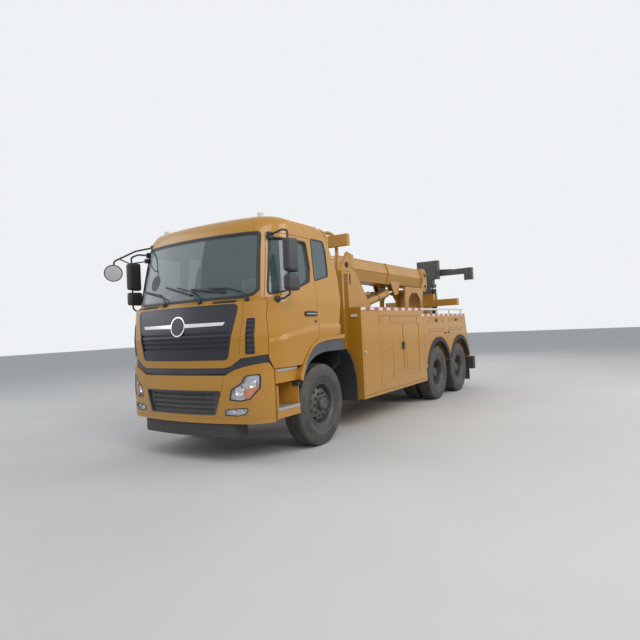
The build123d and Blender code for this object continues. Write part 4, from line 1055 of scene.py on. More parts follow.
lipOuter, flareOuter, flareInner = [smoothLine(cabDetail[key])
                                    for key in ("lipOuter", "flareOuter", "flareInner")]
lipInner = insetOutline(flareOuter + flareInner[::-1], 0.008)[:len(flareOuter)]
bothSides(prism("archLipLeft", lipOuter + lipInner[::-1], "x", 1.205, 1.274, 0.006), "bodyPaint", "cab", 40)
flare = prism("archFlareLeft", flareOuter + flareInner[::-1], "x", 1.196, 1.258, 0.008)
bothSides(flare, "archGrey", "cab", 40)
handle = joined("doorHandleLeft", [
    prism("bowl", rounded(boxOutline(-0.436, -0.154, 1.704, 1.772), 0.03), "x", 1.2400, 1.2505, 0.003),
    prism("lever", rounded(boxOutline(-0.429, -0.161, 1.714, 1.762), 0.022), "x", 1.2508, 1.2665, 0.005),
    lathe("lock", [(1.240, 0.0), (1.240, 0.017), (1.252, 0.017), (1.254, 0.012), (1.254, 0.0)],
          (0, -0.185, 1.640), "x", 20, False),
])
bothSides(handle, "blackPlastic", "door_left", 40)
strip = prism("handleStripLeft", rounded(boxOutline(-0.405, -0.185, 1.733, 1.744), 0.005), "x", 1.2660,
              1.2675)
bothSides(strip, "brightSteel", "door_left", 40)
print("vents, flares and handles made")

# Grille: chrome bars, ring and rows of wire mesh between the slats
grilleSet = {
    "bar": [(0.118, 1.626), (0.685, 1.634), (0.715, 1.672), (0.118, 1.672)], "ring": (0.124, 0.109, 1.645),
    "wave": 0.034, "rise": 0.009, "wire": 0.0034, "rows": [1.376, 1.432, 1.488, 1.544], "sink": 0.006,
    "plain": [(1.584, 1.868), (1.240, 1.340)],
    "rowHalf": 0.675, "rowLow": 1.226, "rowLean": 0.2287,
}


def meshRow(form, z, half, sink):
    count = int(2 * half / grilleSet["wave"])
    points = []
    for n in range(count + 1):
        rise = grilleSet["rise"] * (1 if n % 2 else -1)
        points.append(frontPoint(form, -half + 2 * half * n / count, z + rise, -sink))
    return tube("row", points, grilleSet["wire"], 6)


outerRing, innerRing = [circle(0, grilleSet["ring"][2], radius, 48) for radius in grilleSet["ring"][:2]]
chromeBits = withMirror([onSkin("bar", cabForm, grilleSet["bar"], 0.0085, -0.004)])
chromeBits.append(onSkin("ring", cabForm, outerRing, 0.0125, -0.006, innerRing))
dress(joined("grilleChrome", chromeBits), "chrome", "cab", 40)
plainBits = [onSkin("disc", cabForm, innerRing, 0.0085, -0.006)]
for low, high in grilleSet["plain"]:
    panel = onSkin("plain", cabForm, softOutline(outlines["grille"], 0.012, 0.06), 0.0042, -0.004)
    plainBits.append(cut(panel, boxOutline(-1.0, 1.0, low, high), -0.9, how="INTERSECT"))
dress(joined("grillePlain", plainBits), "grilleBlack", "cab", 40)
wires = []
for z in grilleSet["rows"]:
    half = grilleSet["rowHalf"] + (z - grilleSet["rowLow"]) * grilleSet["rowLean"]
    wires.append(meshRow(cabForm, z, half, grilleSet["sink"]))
    wires.append(meshRow(cabForm, z + 0.0002, half - grilleSet["wave"] / 2, grilleSet["sink"] + 0.004))
dress(joined("grilleMesh", wires), "blackPlastic", "cab", 0)
border = bandOn("grilleBorder", cabForm, outlines["grille"], (0.001, 0.07), (0.022, 0.055), 0.0075, -0.003)
dress(border, "grilleBlack", "cab")
print("grille made")

# Bumper skin with its seams, and mesh in the mouth
bumperCut = {
    "skin": [(-1.40, 0.492), (1.40, 0.492), (1.40, 1.178), (1.130, 1.178), (0.951, 1.146), (0.829, 1.110),
             (0.700, 1.048), (-0.700, 1.048), (-0.829, 1.110), (-0.951, 1.146), (-1.130, 1.178),
             (-1.40, 1.178)],
    "mouth": [(-0.640, 0.868), (0.640, 0.868), (0.550, 0.592), (-0.550, 0.592)],
    "notch": [(-1.100, 1.190), (-1.034, 1.075), (-1.000, 1.190)],
    "seam": [(0.717, 1.060), (0.657, 0.905), (0.565, 0.560)],
    "wires": [0.652, 0.708, 0.764, 0.820], "bezels": {"head": 0.010, "fog": 0.007},
}
bumperSkin = onSkin("bumperSkin", bumperForm, bumperCut["skin"], *skinDepth, None, -1.0455)
cut(bumperSkin, rounded(bumperCut["mouth"], 0.03))
cut(bumperSkin, bumperCut["notch"], 1.4, -1.4, "x")
for points in (insetOutline(lampSet["head"], -0.003), insetOutline(lampSet["fog"], -0.003),
               seamLine(bumperCut["seam"], 0.005)):
    for line in bothWays(points):
        cut(bumperSkin, line)
dress(bumperSkin, "bodyPaint", "chassis", 30)
mouthWires = [meshRow(bumperForm, z, 0.505, 0.026) for z in bumperCut["wires"]]
dress(joined("mouthMesh", mouthWires), "blackPlastic", "chassis", 0)
mouthRim = bandOn("mouthRim", bumperForm, bumperCut["mouth"], (-0.006, 0.034), (0.010, 0.02), 0.0070, -0.018)
dress(mouthRim, "blackPlastic", "chassis")
bezels = [bandOn(key, bumperForm, lampSet[key], (-0.004, 0), (width, 0), 0.0072, -0.006)
          for key, width in bumperCut["bezels"].items()]
bothSides(joined("lampBezelsLeft", bezels), "grilleBlack", "chassis")
print("bumper made")

# Wipers on the windscreen, and the look-down mirror on its struts
wiperSet = {
    # foot across, then arm points and blade ends as (across, height)
    "arms": [(-0.293, [(-0.330, 1.990), (-0.520, 2.085), (-0.760, 2.130)], (-0.960, 2.160), (-0.500, 2.060)),
             (0.318, [(0.280, 1.985), (0.120, 2.080), (-0.120, 2.140)], (-0.370, 2.165), (0.120, 2.030)),
             (0.960, [(0.900, 2.010), (0.700, 2.075), (0.400, 2.095)], (0.120, 2.100), (0.640, 2.030))],
    "foot": 1.916, "armRadius": 0.011, "bladeRadius": 0.010,
    "cap": [(-0.026, 0.0), (-0.026, 0.016), (-0.014, 0.020), (0.004, 0.020)],
    "strut": [(-0.925, -0.905, 2.790), (-1.080, -1.110, 2.735), (-1.290, -1.310, 2.600),
              (-1.300, -1.320, 2.450)],
    "brace": [(-1.010, -0.975, 2.600), (-1.130, -1.170, 2.560), (-1.240, -1.262, 2.632)],
    "disc": (-1.300, -1.320, 2.440), "discWay": (0.72, -0.52, -0.40),
    "discBack": [(-0.030, 0.0), (-0.026, 0.070), (-0.004, 0.116), (0.012, 0.122), (0.018, 0.118),
                 (0.012, 0.110), (0.012, 0.0)],
    "discFace": [(0.0125, 0.0), (0.0125, 0.110), (0.0165, 0.108), (0.0215, 0.070), (0.0230, 0.0)],
}


def lookDownPiece(name, profile):
    piece = lathe(name, profile, (0, 0, 0), "z", 40, False)
    way = Vector(wiperSet["discWay"]).normalized()
    turn = Vector((0, 0, 1)).rotation_difference(way).to_matrix().to_4x4()
    piece.data.transform(Matrix.Translation(at(*wiperSet["disc"])) @ turn @ Matrix.Translation(-at(0, 0, 0)))
    return piece


wiperPieces = []
for x, line, tip, heel in wiperSet["arms"]:
    base = frontPoint(cabForm, x, wiperSet["foot"], 0.018)
    path = [base] + [frontPoint(cabForm, a, b, 0.034) for a, b in line]
    wiperPieces.append(tube("arm", bent(path, 0.15), wiperSet["armRadius"], 10, flat=0.7))
    blade = []
    for share, lift in ((0, 0.016), (0.33, 0.018), (0.67, 0.018), (1, 0.016)):
        spot = [a + (b - a) * share for a, b in zip(heel, tip)]
        blade.append(frontPoint(cabForm, *spot, lift))
    wiperPieces.append(tube("blade", blade, wiperSet["bladeRadius"], 8, flat=1.4))
    y = base[1]
    wiperPieces.append(blockPiece("foot", (x - 0.030, y - 0.016, 1.880), (x + 0.030, y + 0.030, 1.950),
                                  0.012))
    wiperPieces.append(lathe("cap", wiperSet["cap"], (x, y, 1.922), "y", 20, False))
wiperPieces += [
    tube("strut", bent(wiperSet["strut"], 0.06), 0.0125, 12),
    tube("brace", bent(wiperSet["brace"], 0.04), 0.009, 10),
    blockPiece("clamp", (-0.960, -0.960, 2.755), (-0.890, -0.880, 2.815), 0.010),
    blockPiece("clampLow", (-1.035, -1.015, 2.570), (-0.985, -0.950, 2.630), 0.010),
    lookDownPiece("disc", wiperSet["discBack"]),
]
dress(lookDownPiece("lookDownGlass", wiperSet["discFace"]), "chrome", "cab", 40)
wipers = joined("wipersAndStrut", wiperPieces)
dress(wipers, "blackPlastic", "cab", 40)
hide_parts("cab_trim")
print("wipers made")

# Cab inside: seats with padded cushions, vents and screen on the dash
seatSet = {
    "across": 0.590, "cushion": ((-0.238, 0.238), (-0.558, -0.045), (1.568, 1.678)),
    # low front, low rear, high rear, high front, as (along, height)
    "back": [(-0.098, 1.690), (-0.012, 1.690), (0.082, 2.100), (-0.006, 2.112)],
    "rest": [(0.004, 2.135), (0.086, 2.122), (0.126, 2.296), (0.044, 2.314)],
    "backHalf": 0.226, "restHalf": 0.140, "bolster": 0.66, "groove": 0.012,
}


# A pillow-like block, with seams sewn into its upper side
def padPiece(name, low, high, grooves=(), crown=0.0):
    bm = bmesh.new()
    bmesh.ops.create_cube(bm, size=2)
    bmesh.ops.subdivide_edges(bm, edges=bm.edges[:], cuts=19, use_grid_fill=True)
    size = [(b - a) / 2 for a, b in zip(low, high)]
    middle = [(b + a) / 2 for a, b in zip(low, high)]
    power = 7
    for vert in bm.verts:
        u, v, w = vert.co / sum(abs(c) ** power for c in vert.co) ** (1 / power)
        pull = 1 - 0.035 * (1 - v * v) * abs(u) ** 3
        swell = 1 + crown * (1 - u * u) * (1 - v * v)
        dip = 0.0
        if w > 0:
            for across in grooves:
                dip += seatSet["groove"] * math.exp(-((abs(u) - across) / 0.035) ** 2)
            for n in (-0.45, 0.0, 0.45):
                if abs(u) < min(grooves or [1]):
                    dip += 0.5 * seatSet["groove"] * math.exp(-((v - n) / 0.03) ** 2)
        spot = [u * size[0] * pull, v * size[1], w * size[2] * swell / (1 + crown) - dip]
        vert.co = at(*[m + s for m, s in zip(middle, spot)])
    return fixNormals(fromBmesh(name, bm))


# A pad between four corners of its side view, with seams on its front
def backPad(name, x, half, corners, sewn):
    pad = padPiece(name, (-half, -1, 0), (half, 0, 1))
    low, rear, highRear, high = [Vector(c) for c in corners]
    for vert in pad.data.vertices:
        u, z = vert.co.x / half, vert.co.z
        y = -(vert.co.y + axleShift)
        dip = 0.0
        if y < 0.15 and sewn:
            dip = 0.16 * math.exp(-((abs(u) - seatSet["bolster"]) / 0.035) ** 2)
            for n in (0.3, 0.55, 0.8):
                if abs(u) < seatSet["bolster"]:
                    dip += 0.08 * math.exp(-((z - n) / 0.02) ** 2)
        y = min(1, max(0, y + dip))
        spot = low.lerp(high, z) + (rear - low).lerp(highRear - high, z) * y
        vert.co = at(vert.co.x + x, spot.x, spot.y)
    return fixNormals(pad)


frames = []
for side, label in ((1, "Left"), (-1, "Right")):
    x = side * seatSet["across"]
    (x0, x1), (y0, y1), (z0, z1) = seatSet["cushion"]
    cushion = padPiece("seatCushion" + label, (x + x0, y0, z0), (x + x1, y1, z1), (seatSet["bolster"],), 0.12)
    back = backPad("seatBack" + label, x, seatSet["backHalf"], seatSet["back"], True)
    rest = backPad("seatRest" + label, x, seatSet["restHalf"], seatSet["rest"], False)
    for piece, fill in ((cushion, 0.7), (back, 0.7), (rest, 0.8)):
        dress(piece, "seatCloth", "cab", 60)
        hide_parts("seats")
    frames.append(blockPiece("base", (x - 0.180, -0.480, 1.531), (x + 0.180, -0.100, 1.548), 0.006))
    for a, b in ((x - 0.170, x - 0.140), (x + 0.140, x + 0.170)):
        frames.append(blockPiece("slide", (a, -0.500, 1.546), (b, -0.080, 1.566), 0.004))
    for a in (x - 0.07, x + 0.07):
        frames.append(tube("post", [(a, 0.038, 2.090), (a, 0.060, 2.150)], 0.007, 10))
seatFrames = joined("seatFrames", frames)
dress(seatFrames, "dashPlastic", "cab", 40)
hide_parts("seats")
dashBits = [
    prism("hood", [(-1.060, 1.903), (-0.930, 1.975), (-0.905, 1.960), (-0.895, 1.903)], "x", 0.380, 0.800,
          0.008),
    prism("screen", [(-0.893, 1.700), (-0.893, 1.870), (-0.880, 1.862), (-0.880, 1.708)], "x", -0.130, 0.160,
          0.003),
]
for x in (-0.780, -0.450, 0.230, 0.960):
    for z in (1.800, 1.818, 1.836):
        dashBits.append(blockPiece("vent", (x - 0.070, -0.899, z), (x + 0.070, -0.884, z + 0.008), 0.002))
dress(joined("dashDetail", dashBits), "blackPlastic", "cab", 40)
print("seats and dash made")

# Steps, arch liners and the underrun below the cab, with dark sheets and bands that paint the shade there
underCab = {
    "underrun": {"levels": [(0.3285, -1.385, -0.95, 0.800, 0.120), (0.486, -1.385, -0.95, 0.800, 0.120)],
                 "sharp": 9, "bow": 3.58, "rearCorner": 0.02},
    "liner": [(-0.622, 1.000), (-0.517, 1.106), (-0.317, 1.331), (-0.069, 1.411), (0.490, 1.449)],
    # painted shade: a dark wall sheet over faces behind the arch that lie in shade
    "linerWall": [(-0.610, 1.002), (-0.512, 1.100), (-0.314, 1.322), (-0.068, 1.402), (0.380, 1.430),
                  (0.380, 1.002)],
    "gap": [(-1.210, 1.190), (-0.951, 1.154), (-0.829, 1.118), (-0.700, 1.064), (0.700, 1.064),
            (0.829, 1.118), (0.951, 1.154), (1.210, 1.190), (1.210, 1.300), (0.900, 1.262), (0.775, 1.176),
            (0.680, 1.146), (-0.680, 1.146), (-0.775, 1.176), (-0.900, 1.262), (-1.210, 1.300)],
    "ribs": 6, "ribFirst": 0.985, "ribPitch": 0.042,
    "duct": (0.905, 1.045, 0.600, 0.735), "hood": (0.890, 1.060, 0.590, 0.745),
    "elbow": [(0.975, 0.668, 1.110), (0.975, 0.668, 0.985), (0.440, 0.668, 0.985)],
}
# A black arch liner along the arch line; its wall and back sheets are painted shade, dark sheets over faces
# that lie in shade
line = underCab["liner"]
shelf = [(y - 0.002, z + 0.002) for y, z in line] + [(y + 0.004, z - 0.006) for y, z in line[::-1]]
liner = joined("archLinerLeft", [
    prism("shelf", shelf, "x", 0.600, 1.200),
    prism("wall", underCab["linerWall"], "x", 0.604, 0.609),
    blockPiece("back", (0.604, 0.466, 1.020), (1.196, 0.472, 1.442), 0.002),
])
bothSides(liner, "guardBlack", "cab", 40)
# A black strip in the gap between bumper and cab, and also painted shade: it stands for the dark seen through
# the gap
gapBand = onSkin("gapBand", bumperForm, underCab["gap"], -0.014, -0.024, None, -1.04)
dress(gapBand, "grilleBlack", "chassis")
# A black underrun, made near-black with little dust as painted shade for the deep shade under the bumper
underrun = skinSolid("underrunSkin", underCab["underrun"], 0.003, -0.012, 2, counts=(18, 10, 4, 2, 2))
carve(underrun, blockPiece("tool", (-0.90, -1.60, 0.20), (0.90, -1.095, 0.60), 0), "INTERSECT")
dress(underrun, "guardBlack", "chassis", 40)
treads = [blockPiece("sill", (1.2055, -1.004, 1.066), (1.2140, -0.600, 1.092), 0.004),
          prism("lip", boxOutline(-1.030, -0.584, 0.611, 0.645), "x", 1.2185, 1.2270, 0.003)]
for n in range(underCab["ribs"]):
    x = underCab["ribFirst"] + n * underCab["ribPitch"]
    rear = -0.668 + 0.25 * (x - underCab["ribFirst"])
    treads.append(blockPiece("rib", (x, -0.995, 0.6405), (x + 0.020, rear, 0.6465), 0.002))
bothSides(joined("stepTreadsLeft", treads), "brightSteel", "chassis", 40)
stepSide = [(1.214, -0.588), (0.962, -0.652), (0.962, -0.667), (1.214, -0.603)]
bothSides(prism("stepSideLeft", stepSide, "z", 0.641, 0.905, 0.002), "bodyPaint", "chassis", 40)
# The sheet is painted shade: a dark sheet inboard of the front wheel hides faces that lie in shade; the cap
# is a black piece at the rear end of the step
shadeSheetAndCap = joined("splashGuardLeft", [
    blockPiece("sheet", (0.436, 0.858, 0.760), (0.902, 0.864, 1.225), 0.002),
    blockPiece("cap", (1.150, -0.640, 0.862), (1.236, -0.576, 0.925), 0.008),
])
bothSides(shadeSheetAndCap, "guardBlack", "chassis", 40)
intake = joined("airIntake", [
    prism("duct", rounded(boxOutline(*underCab["duct"]), 0.03), "z", 1.080, 1.980),
    prism("hood", rounded(boxOutline(*underCab["hood"]), 0.03), "z", 1.820, 2.000, 0.008),
    tube("elbow", bent(underCab["elbow"], 0.06), 0.055, 20),
])
dress(intake, "guardBlack", "chassis", 40)
marker = prism("markerLampLeft", rounded(boxOutline(1.085, 1.185, 1.692, 1.732), 0.010), "y", 1.030, 1.0505,
               0.004)
bothSides(marker, "lampClear", "chassis", 40)
print("steps made")

# Lockers: latches, knobs, bolts and tape along the top edge
bodySet = {
    "bolts": [(1.189, 1.272), (1.335, 1.270), (1.217, 0.808), (1.364, 0.799)],
    "knobs": {"narrow": [(1.135, 1.150)], "large": [(1.780, 1.180), (3.515, 1.180)]},
    "latches": {"large": (2.560, 1.1825, 0.049, 0.066), "upper_front": (4.245, 1.595, 0.034, 0.029),
                "upper_rear": (5.480, 1.595, 0.034, 0.029)},
    "pulls": [(4.746, 1.328), (4.938, 1.336)],
    "tape": [(1.056, 3.444, 1.792, 1.834), (3.462, 6.120, 1.688, 1.725)],
    "tapeStep": 0.150,
    # front, rear, low, high of each raised bead
    "pressed": {
        "large": [(2.050, 3.225, 1.597, 1.685), (2.135, 2.575, 0.790, 1.570), (2.685, 3.290, 0.790, 1.570),
                  (2.100, 3.250, 0.665, 0.760)],
        "upper_front": [(3.830, 4.660, 1.395, 1.440), (3.830, 4.150, 1.560, 1.610),
                        (4.340, 4.660, 1.560, 1.610)],
        "upper_rear": [(5.030, 5.930, 1.395, 1.440), (5.030, 5.370, 1.560, 1.610),
                       (5.590, 5.930, 1.560, 1.610)],
    },
}


def sideLabel(kind, key):
    return kind + "".join(word.capitalize() for word in key.split("_")) + "Left"


def latch(y, z, halfY, halfZ):
    pieces = [lathe("key", [(1.262, 0.0), (1.262, 0.007), (1.269, 0.007), (1.269, 0.0)],
                    (0, y, z - halfZ * 0.6), "x", 16, False)]
    # share of the width, shares of the height below and above, corner, inner and outer face, bevel
    for wide, below, above, corner, low, high, bevel in [
        (1.0, 1.0, 1.0, 0.012, 1.2466, 1.2630, 0.002), (0.86, 0.86, 0.86, 0.010, 1.2625, 1.2655, 0.001),
        (0.62, 0.30, 0.62, 0.008, 1.2650, 1.2720, 0.002),
    ]:
        outline = boxOutline(y - halfY * wide, y + halfY * wide, z - halfZ * below, z + halfZ * above)
        pieces.append(prism("plate", rounded(outline, corner), "x", low, high, bevel))
    return pieces


def knob(y, z, radius=0.0175):
    profile = [(1.2490, 0.0), (1.2490, radius + 0.006), (1.2535, radius + 0.006), (1.2560, radius),
               (1.2715, radius), (1.2755, radius - 0.004), (1.2755, 0.0)]
    return lathe("knob", profile, (0, y, z), "x", 24, False)


for key, values in bodySet["latches"].items():
    bothSides(joined(sideLabel("latch", key), latch(*values)), "blackPlastic", f"locker_{key}_left", 40)
    if key in bodySet["knobs"]:
        knobs = joined(sideLabel("knobs", key), [knob(*spot) for spot in bodySet["knobs"][key]])
        bothSides(knobs, "brightSteel", f"locker_{key}_left", 40)
narrow = [knob(*spot) for spot in bodySet["knobs"]["narrow"]]
narrow += [pin(1.2495, 1.2570, y, z, 0.0105) for y, z in bodySet["bolts"]]
bothSides(joined("latchNarrowLeft", narrow), "brightSteel", "locker_narrow_left", 40)
pulls = [knob(y, z, 0.014) for y, z in bodySet["pulls"]]
bothSides(joined("bodyPullsLeft", pulls), "blackPlastic", "chassis", 40)
for key, boxes in bodySet["pressed"].items():
    beads = []
    for y0, y1, z0, z1 in boxes:
        corners = [(1.2495, y, z) for y, z in boxOutline(y0, y1, z0, z1)]
        beads.append(tube("bead", bent(corners, 0.02), 0.0060, 8, True))
    bothSides(joined(sideLabel("beads", key), beads), "bodyPaint", f"locker_{key}_left", 60)
tapes = {"tapeRed": [], "tapeWhite": []}
for y0, y1, z0, z1 in bodySet["tape"]:
    count = round((y1 - y0) / bodySet["tapeStep"])
    edges = [y0 + (y1 - y0) * n / count for n in range(count + 1)]
    for n, (a, b) in enumerate(zip(edges, edges[1:])):
        skin = "tapeRed" if n % 2 else "tapeWhite"
        tapes[skin].append(blockPiece("tape", (1.2501, a, z0), (1.2514, b, z1), 0.0004))
for skin, pieces in tapes.items():
    bothSides(joined(skin + "Left", pieces), skin, "chassis", 40)
print("locker fittings made")

# Boom and mast: weld beads, faceted root, pins, cylinder glands and winch rope
craneSet = {
    # across and height of the boom's section, and of its narrow root
    "section": [(-0.185, 2.430), (0.185, 2.430), (0.250, 2.632), (0.185, 2.840), (-0.185, 2.840),
                (-0.250, 2.632)],
    "root": [(-0.178, 2.530), (0.178, 2.530), (0.182, 2.650), (0.178, 2.730), (-0.178, 2.730),
             (-0.182, 2.650)],
    # from, to, grown by
    "collars": [(4.236, 4.262, 0.020), (6.070, 6.095, 0.036), (6.128, 6.150, 0.040)],
    "bead": 0.007, "pin": (2.010, 2.626), "slot": (2.108, 2.152, 2.283, 2.481),
    "mastEdge": [(1.730, 2.470), (2.075, 2.860), (2.285, 2.815), (2.350, 2.520), (2.890, 1.900)],
    "gussets": [1.300, 1.600, 1.900],
    "head": [[(1.766, 2.512), (2.076, 2.850), (2.136, 2.838), (2.136, 2.512)],
             [(2.146, 2.604), (2.146, 2.834), (2.276, 2.808), (2.330, 2.555)]],
    "cylinder": (2.600, 1.830, 4.620, 2.300), "cylinderX": 0.165,
    "glands": [(1.600, 1.640, 0.080), (1.655, 1.722, 0.077), (0.100, 0.130, 0.078)],
    "ropeTurns": 33, "ropeRadius": 0.0074, "drumHalf": 0.2495, "sheaves": [(2.460, 0.105), (2.730, 0.090)],
}


def ringLoft(name, rings):
    count = len(rings[0])
    verts = [at(*p) for ring in rings for p in ring]
    ends = [list(range(count)), [len(verts) - 1 - n for n in range(count)]]
    return fromLists(name, verts, ends + ringFaces(len(rings), count))


def sectionAt(y, grow=0.0, key="section"):
    return [(x, y, z) for x, z in insetOutline(craneSet[key], -grow)]


root = ringLoft("root", [sectionAt(2.010, 0, "root"), sectionAt(2.060, 0, "root"), sectionAt(2.262, 0.010),
                         sectionAt(2.300, 0.010)])
boomBits = [softenEdges(root, 0.003)]
for a, b, grow in craneSet["collars"]:
    boomBits.append(ringLoft("collar", [sectionAt(a, grow), sectionAt(b, grow)]))
for x, z in craneSet["section"]:
    x += 0.003 if x > 0 else -0.003
    z += 0.002 if z > 2.5 else -0.002
    boomBits.append(tube("bead", [(x, 2.300, z), (x, 4.236, z)], craneSet["bead"], 8))
dress(joined("boomTrim", boomBits), "boomPaint", "boom", 30)
pinBits = [pin(0.505, 0.516, *craneSet["pin"], 0.050, 32)]
for y, z in circle(*craneSet["pin"], 0.028, 3, 1.5 / (2 * math.pi)):
    pinBits.append(pin(0.516, 0.524, y, z, 0.009))
dress(joined("boomPins", withMirror(pinBits)), "chassisBlack", "boom", 40)
# Painted shade: a flat black plate on each mast side stands for the shaded inside of a slot
slot = prism("slot", rounded(boxOutline(*craneSet["slot"]), 0.0209), "x", 0.4902, 0.4925, 0.0005)
dress(joined("mastSlots", withMirror([slot])), "chassisBlack", "chassis", 40)
mastBits = []
for (ya, za), (yb, zb) in zip(craneSet["mastEdge"], craneSet["mastEdge"][1:]):
    mastBits.append(tube("edge", [(0.4885, ya, za), (0.4885, yb, zb)], 0.0045, 8))
boss = [(0.4910, y, z) for y, z in circle(*craneSet["pin"], 0.085, 40)]
mastBits.append(tube("boss", boss, 0.010, 8, True))
for z in craneSet["gussets"]:
    mastBits.append(prism("gusset", [(2.092, z), (2.092, z + 0.110), (2.190, z)], "x", 0.444, 0.460, 0.002))
for points in craneSet["head"]:
    mastBits.append(prism("head", points, "x", 0.4895, 0.5015, 0.004))
dress(joined("mastTrim", withMirror(mastBits)), "boomPaint", "chassis", 30)


# A place on the lift cylinder: distance from its foot, and lift off its middle line
def onCylinder(distance, lift=0.0):
    yA, zA, yB, zB = craneSet["cylinder"]
    reach = math.hypot(yB - yA, zB - zA)
    wayY, wayZ = (yB - yA) / reach, (zB - zA) / reach
    return (craneSet["cylinderX"], yA + wayY * distance - wayZ * lift, zA + wayZ * distance + wayY * lift)


glands = [tube("gland", [onCylinder(a), onCylinder(b)], radius, 32) for a, b, radius in craneSet["glands"]]
pipes = [tube("clip", [onCylinder(a), onCylinder(a + 0.022)], 0.0765, 32) for a in (0.500, 1.200)]
for lift in (0.086, 0.104):
    route = [onCylinder(0.190, 0.060), onCylinder(0.190, lift), onCylinder(1.560, lift),
             onCylinder(1.560, 0.060)]
    pipes.append(tube("pipe", bent(route, 0.02), 0.007, 10))
dress(joined("cylinderGlands", withMirror(glands)), "boomPaint", "lift_barrels", 40)
dress(joined("cylinderPipes", withMirror(pipes)), "chassisBlack", "lift_barrels", 40)
half, turns, thick = craneSet["drumHalf"], craneSet["ropeTurns"], craneSet["ropeRadius"]
profile = [(-half, 0.120)]
for n in range(turns):
    x = -half + 2 * half * (n + 0.5) / turns
    for a in [math.pi * (k + 0.5) / 6 for k in range(6)]:
        profile.append((x - thick * math.cos(a), 0.1315 + thick * math.sin(a)))
profile.append((half, 0.120))
dress(lathe("winchRope", profile, (0, 5.440, 1.480), "x", 40, False), "ropeSteel", "winch_drum", 50)
sheaves = []
for z, radius in craneSet["sheaves"]:
    groove = [(0.030, 0.004), (0.020, 0.006), (0.008, -0.004)]
    profile = [(-0.030, 0.030)] + [(-a, radius + r) for a, r in groove]
    profile += [(a, radius + r) for a, r in groove[::-1]] + [(0.030, 0.030)]
    sheaves.append(lathe("sheave", profile, (0.102, 6.430, z), "x", 40))
    sheaves.append(pin(0.2150, 0.2310, 6.430, z, 0.036))
dress(joined("headSheaves", withMirror(sheaves)), "chassisBlack", "boom_stage", 40)
print("boom and mast made")

# Rear: tail lamps, ram fittings and underlift bolts
tailSet = {"lamps": [("lampRed", 0.948, 1.030), ("lampAmber", 1.040, 1.118), ("lampClear", 1.128, 1.206)],
           "low": 0.500, "high": 0.610}
cases = [prism("back", rounded(boxOutline(0.932, 1.222, 0.470, 0.640), 0.02), "y", 6.8995, 6.9030, 0.001)]
for skin, x0, x1 in tailSet["lamps"]:
    outline = boxOutline(x0, x1, tailSet["low"], tailSet["high"])
    lens = prism(skin.replace("lamp", "tailLens") + "Left", rounded(outline, 0.014), "y", 6.9010, 6.9170,
                 0.004)
    bothSides(lens, skin, "chassis", 40)
    cases.append(prism("case", softOutline(outline, -0.005, 0.017), "y", 6.8985, 6.9075, 0.002))
bothSides(joined("tailCasesLeft", cases), "blackPlastic", "chassis", 40)


def upright(z0, z1, radius, sides):
    return tube("upright", [(0.320, 6.740, z0), (0.320, 6.740, z1)], radius, sides)


dress(joined("ramRings", withMirror([upright(2.396, 2.426, 0.0645, 36)])), "chrome", "chassis", 40)
rams = [upright(2.449, 2.466, 0.026, 6), upright(2.150, 2.176, 0.067, 36)]
dress(joined("ramFittings", withMirror(rams)), "chassisBlack", "chassis", 40)
tip = [blockPiece("cheek", (0.2740, 7.195, 2.685), (0.2800, 7.385, 3.175), 0.002)]
for z in (2.740, 2.860, 3.000, 3.120):
    for y0, y1 in ((7.3795, 7.3930), (7.1870, 7.2005)):
        tip.append(tube("bolt", [(0.235, y0, z), (0.235, y1, z)], 0.014, 6))
arm = [pin(0.148, 0.156, 7.165, 0.700, 0.060, 28)]
arm += [blockPiece("band", (0.1495, 7.174, z), (0.1570, 7.406, z + 0.040), 0.002) for z in (2.500, 2.380)]
rib = [(0.110, 2.9195), (0.110, 2.960), (0.560, 2.935), (0.600, 2.9195)]
mouth = [(x, y, 2.922) for x, y in circle(1.000, 7.490, 0.046, 32)]
crossbar = [prism("rib", rib, "y", 7.482, 7.498, 0.002), tube("mouth", mouth, 0.008, 8, True)]
for x in (0.905, 1.093):
    crossbar.append(blockPiece("end", (x - 0.001, 7.412, 2.612), (x + 0.009, 7.568, 2.928), 0.003))
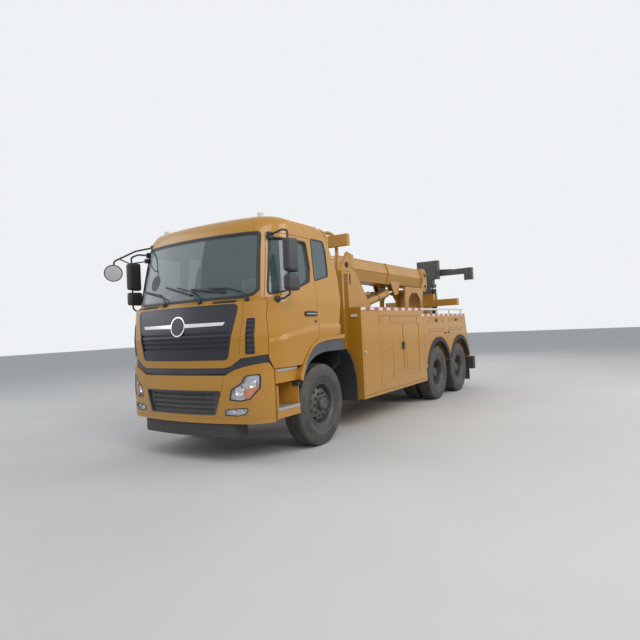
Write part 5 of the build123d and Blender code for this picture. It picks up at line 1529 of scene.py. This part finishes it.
under = {"tip": withMirror(tip), "arm": withMirror(arm), "crossbar": withMirror(crossbar)}
for y0, y1 in ((7.172, 7.180), (7.400, 7.408)):
    under["arm"].append(blockPiece("collar", (-0.158, y0, 2.520), (0.158, y1, 2.568), 0.002))
under["crossbar"].append(tube("swivel", [(0.0, 7.559, 2.850), (0.0, 7.574, 2.850)], 0.062, 32))
for x, z in circle(0, 2.850, 0.046, 6):
    under["crossbar"].append(tube("bolt", [(x, 7.573, z), (x, 7.582, z)], 0.008, 6))
for key, pieces in under.items():
    dress(joined(key + "Fittings", pieces), "underliftGrey", "underlift_" + key, 40)
print("rear details made")

# CAD nodes that stay get their finish
nodeFinish = {
    "bodyPaint": ["bumper", "steps", "side_body_left", "side_body_right"],
    "cabLining": ["cab_shell"],
    "doorLining": ["door_left", "door_right"],
    "boomPaint": ["headboard", "mast", "boom", "boom_stage", "boom_rest", "underlift_column", "lift_barrels"],
    "chassisBlack": ["deck", "tail_bumper", "underlift_rams", "chassis_frame", "front_axle", "knuckle_left",
                     "knuckle_right", "rear_bogie"],
    "underliftGrey": ["underlift_carriage", "underlift_arm", "underlift_tip", "underlift_crossbar",
                      "fork_sockets"],
    "cabGlass": ["cab_glass", "door_glass_left", "door_glass_right"],
    "blackPlastic": ["bumper_trim", "cab_trim", "mirror_left", "mirror_right"],
    "grilleBlack": ["grille_panel"], "guardBlack": ["mudguards"], "ropeSteel": ["winch_drum"],
    "engineIron": ["engine_block"], "lampClear": ["front_lamps", "roof_lamps"], "seatCloth": ["seats"],
    "dashPlastic": ["dashboard"], "rimSteel": ["wheel_front_left", "wheel_front_right"],
    "tyreRubber": ["tyre_front_left", "tyre_front_right", "twin_wheel_middle_left", "twin_wheel_middle_right",
                   "twin_wheel_rear_left", "twin_wheel_rear_right"],
    "chrome": ["lift_rods"], "whitePaint": ["side_rails"],
}
finishOf = {node: skin for skin, nodes in nodeFinish.items() for node in nodes}
for name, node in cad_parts.items():
    node.data.materials.clear()
    node.data.materials.append(finish(finishOf.get(name, "bodyPaint")))
print("frame nodes finished")
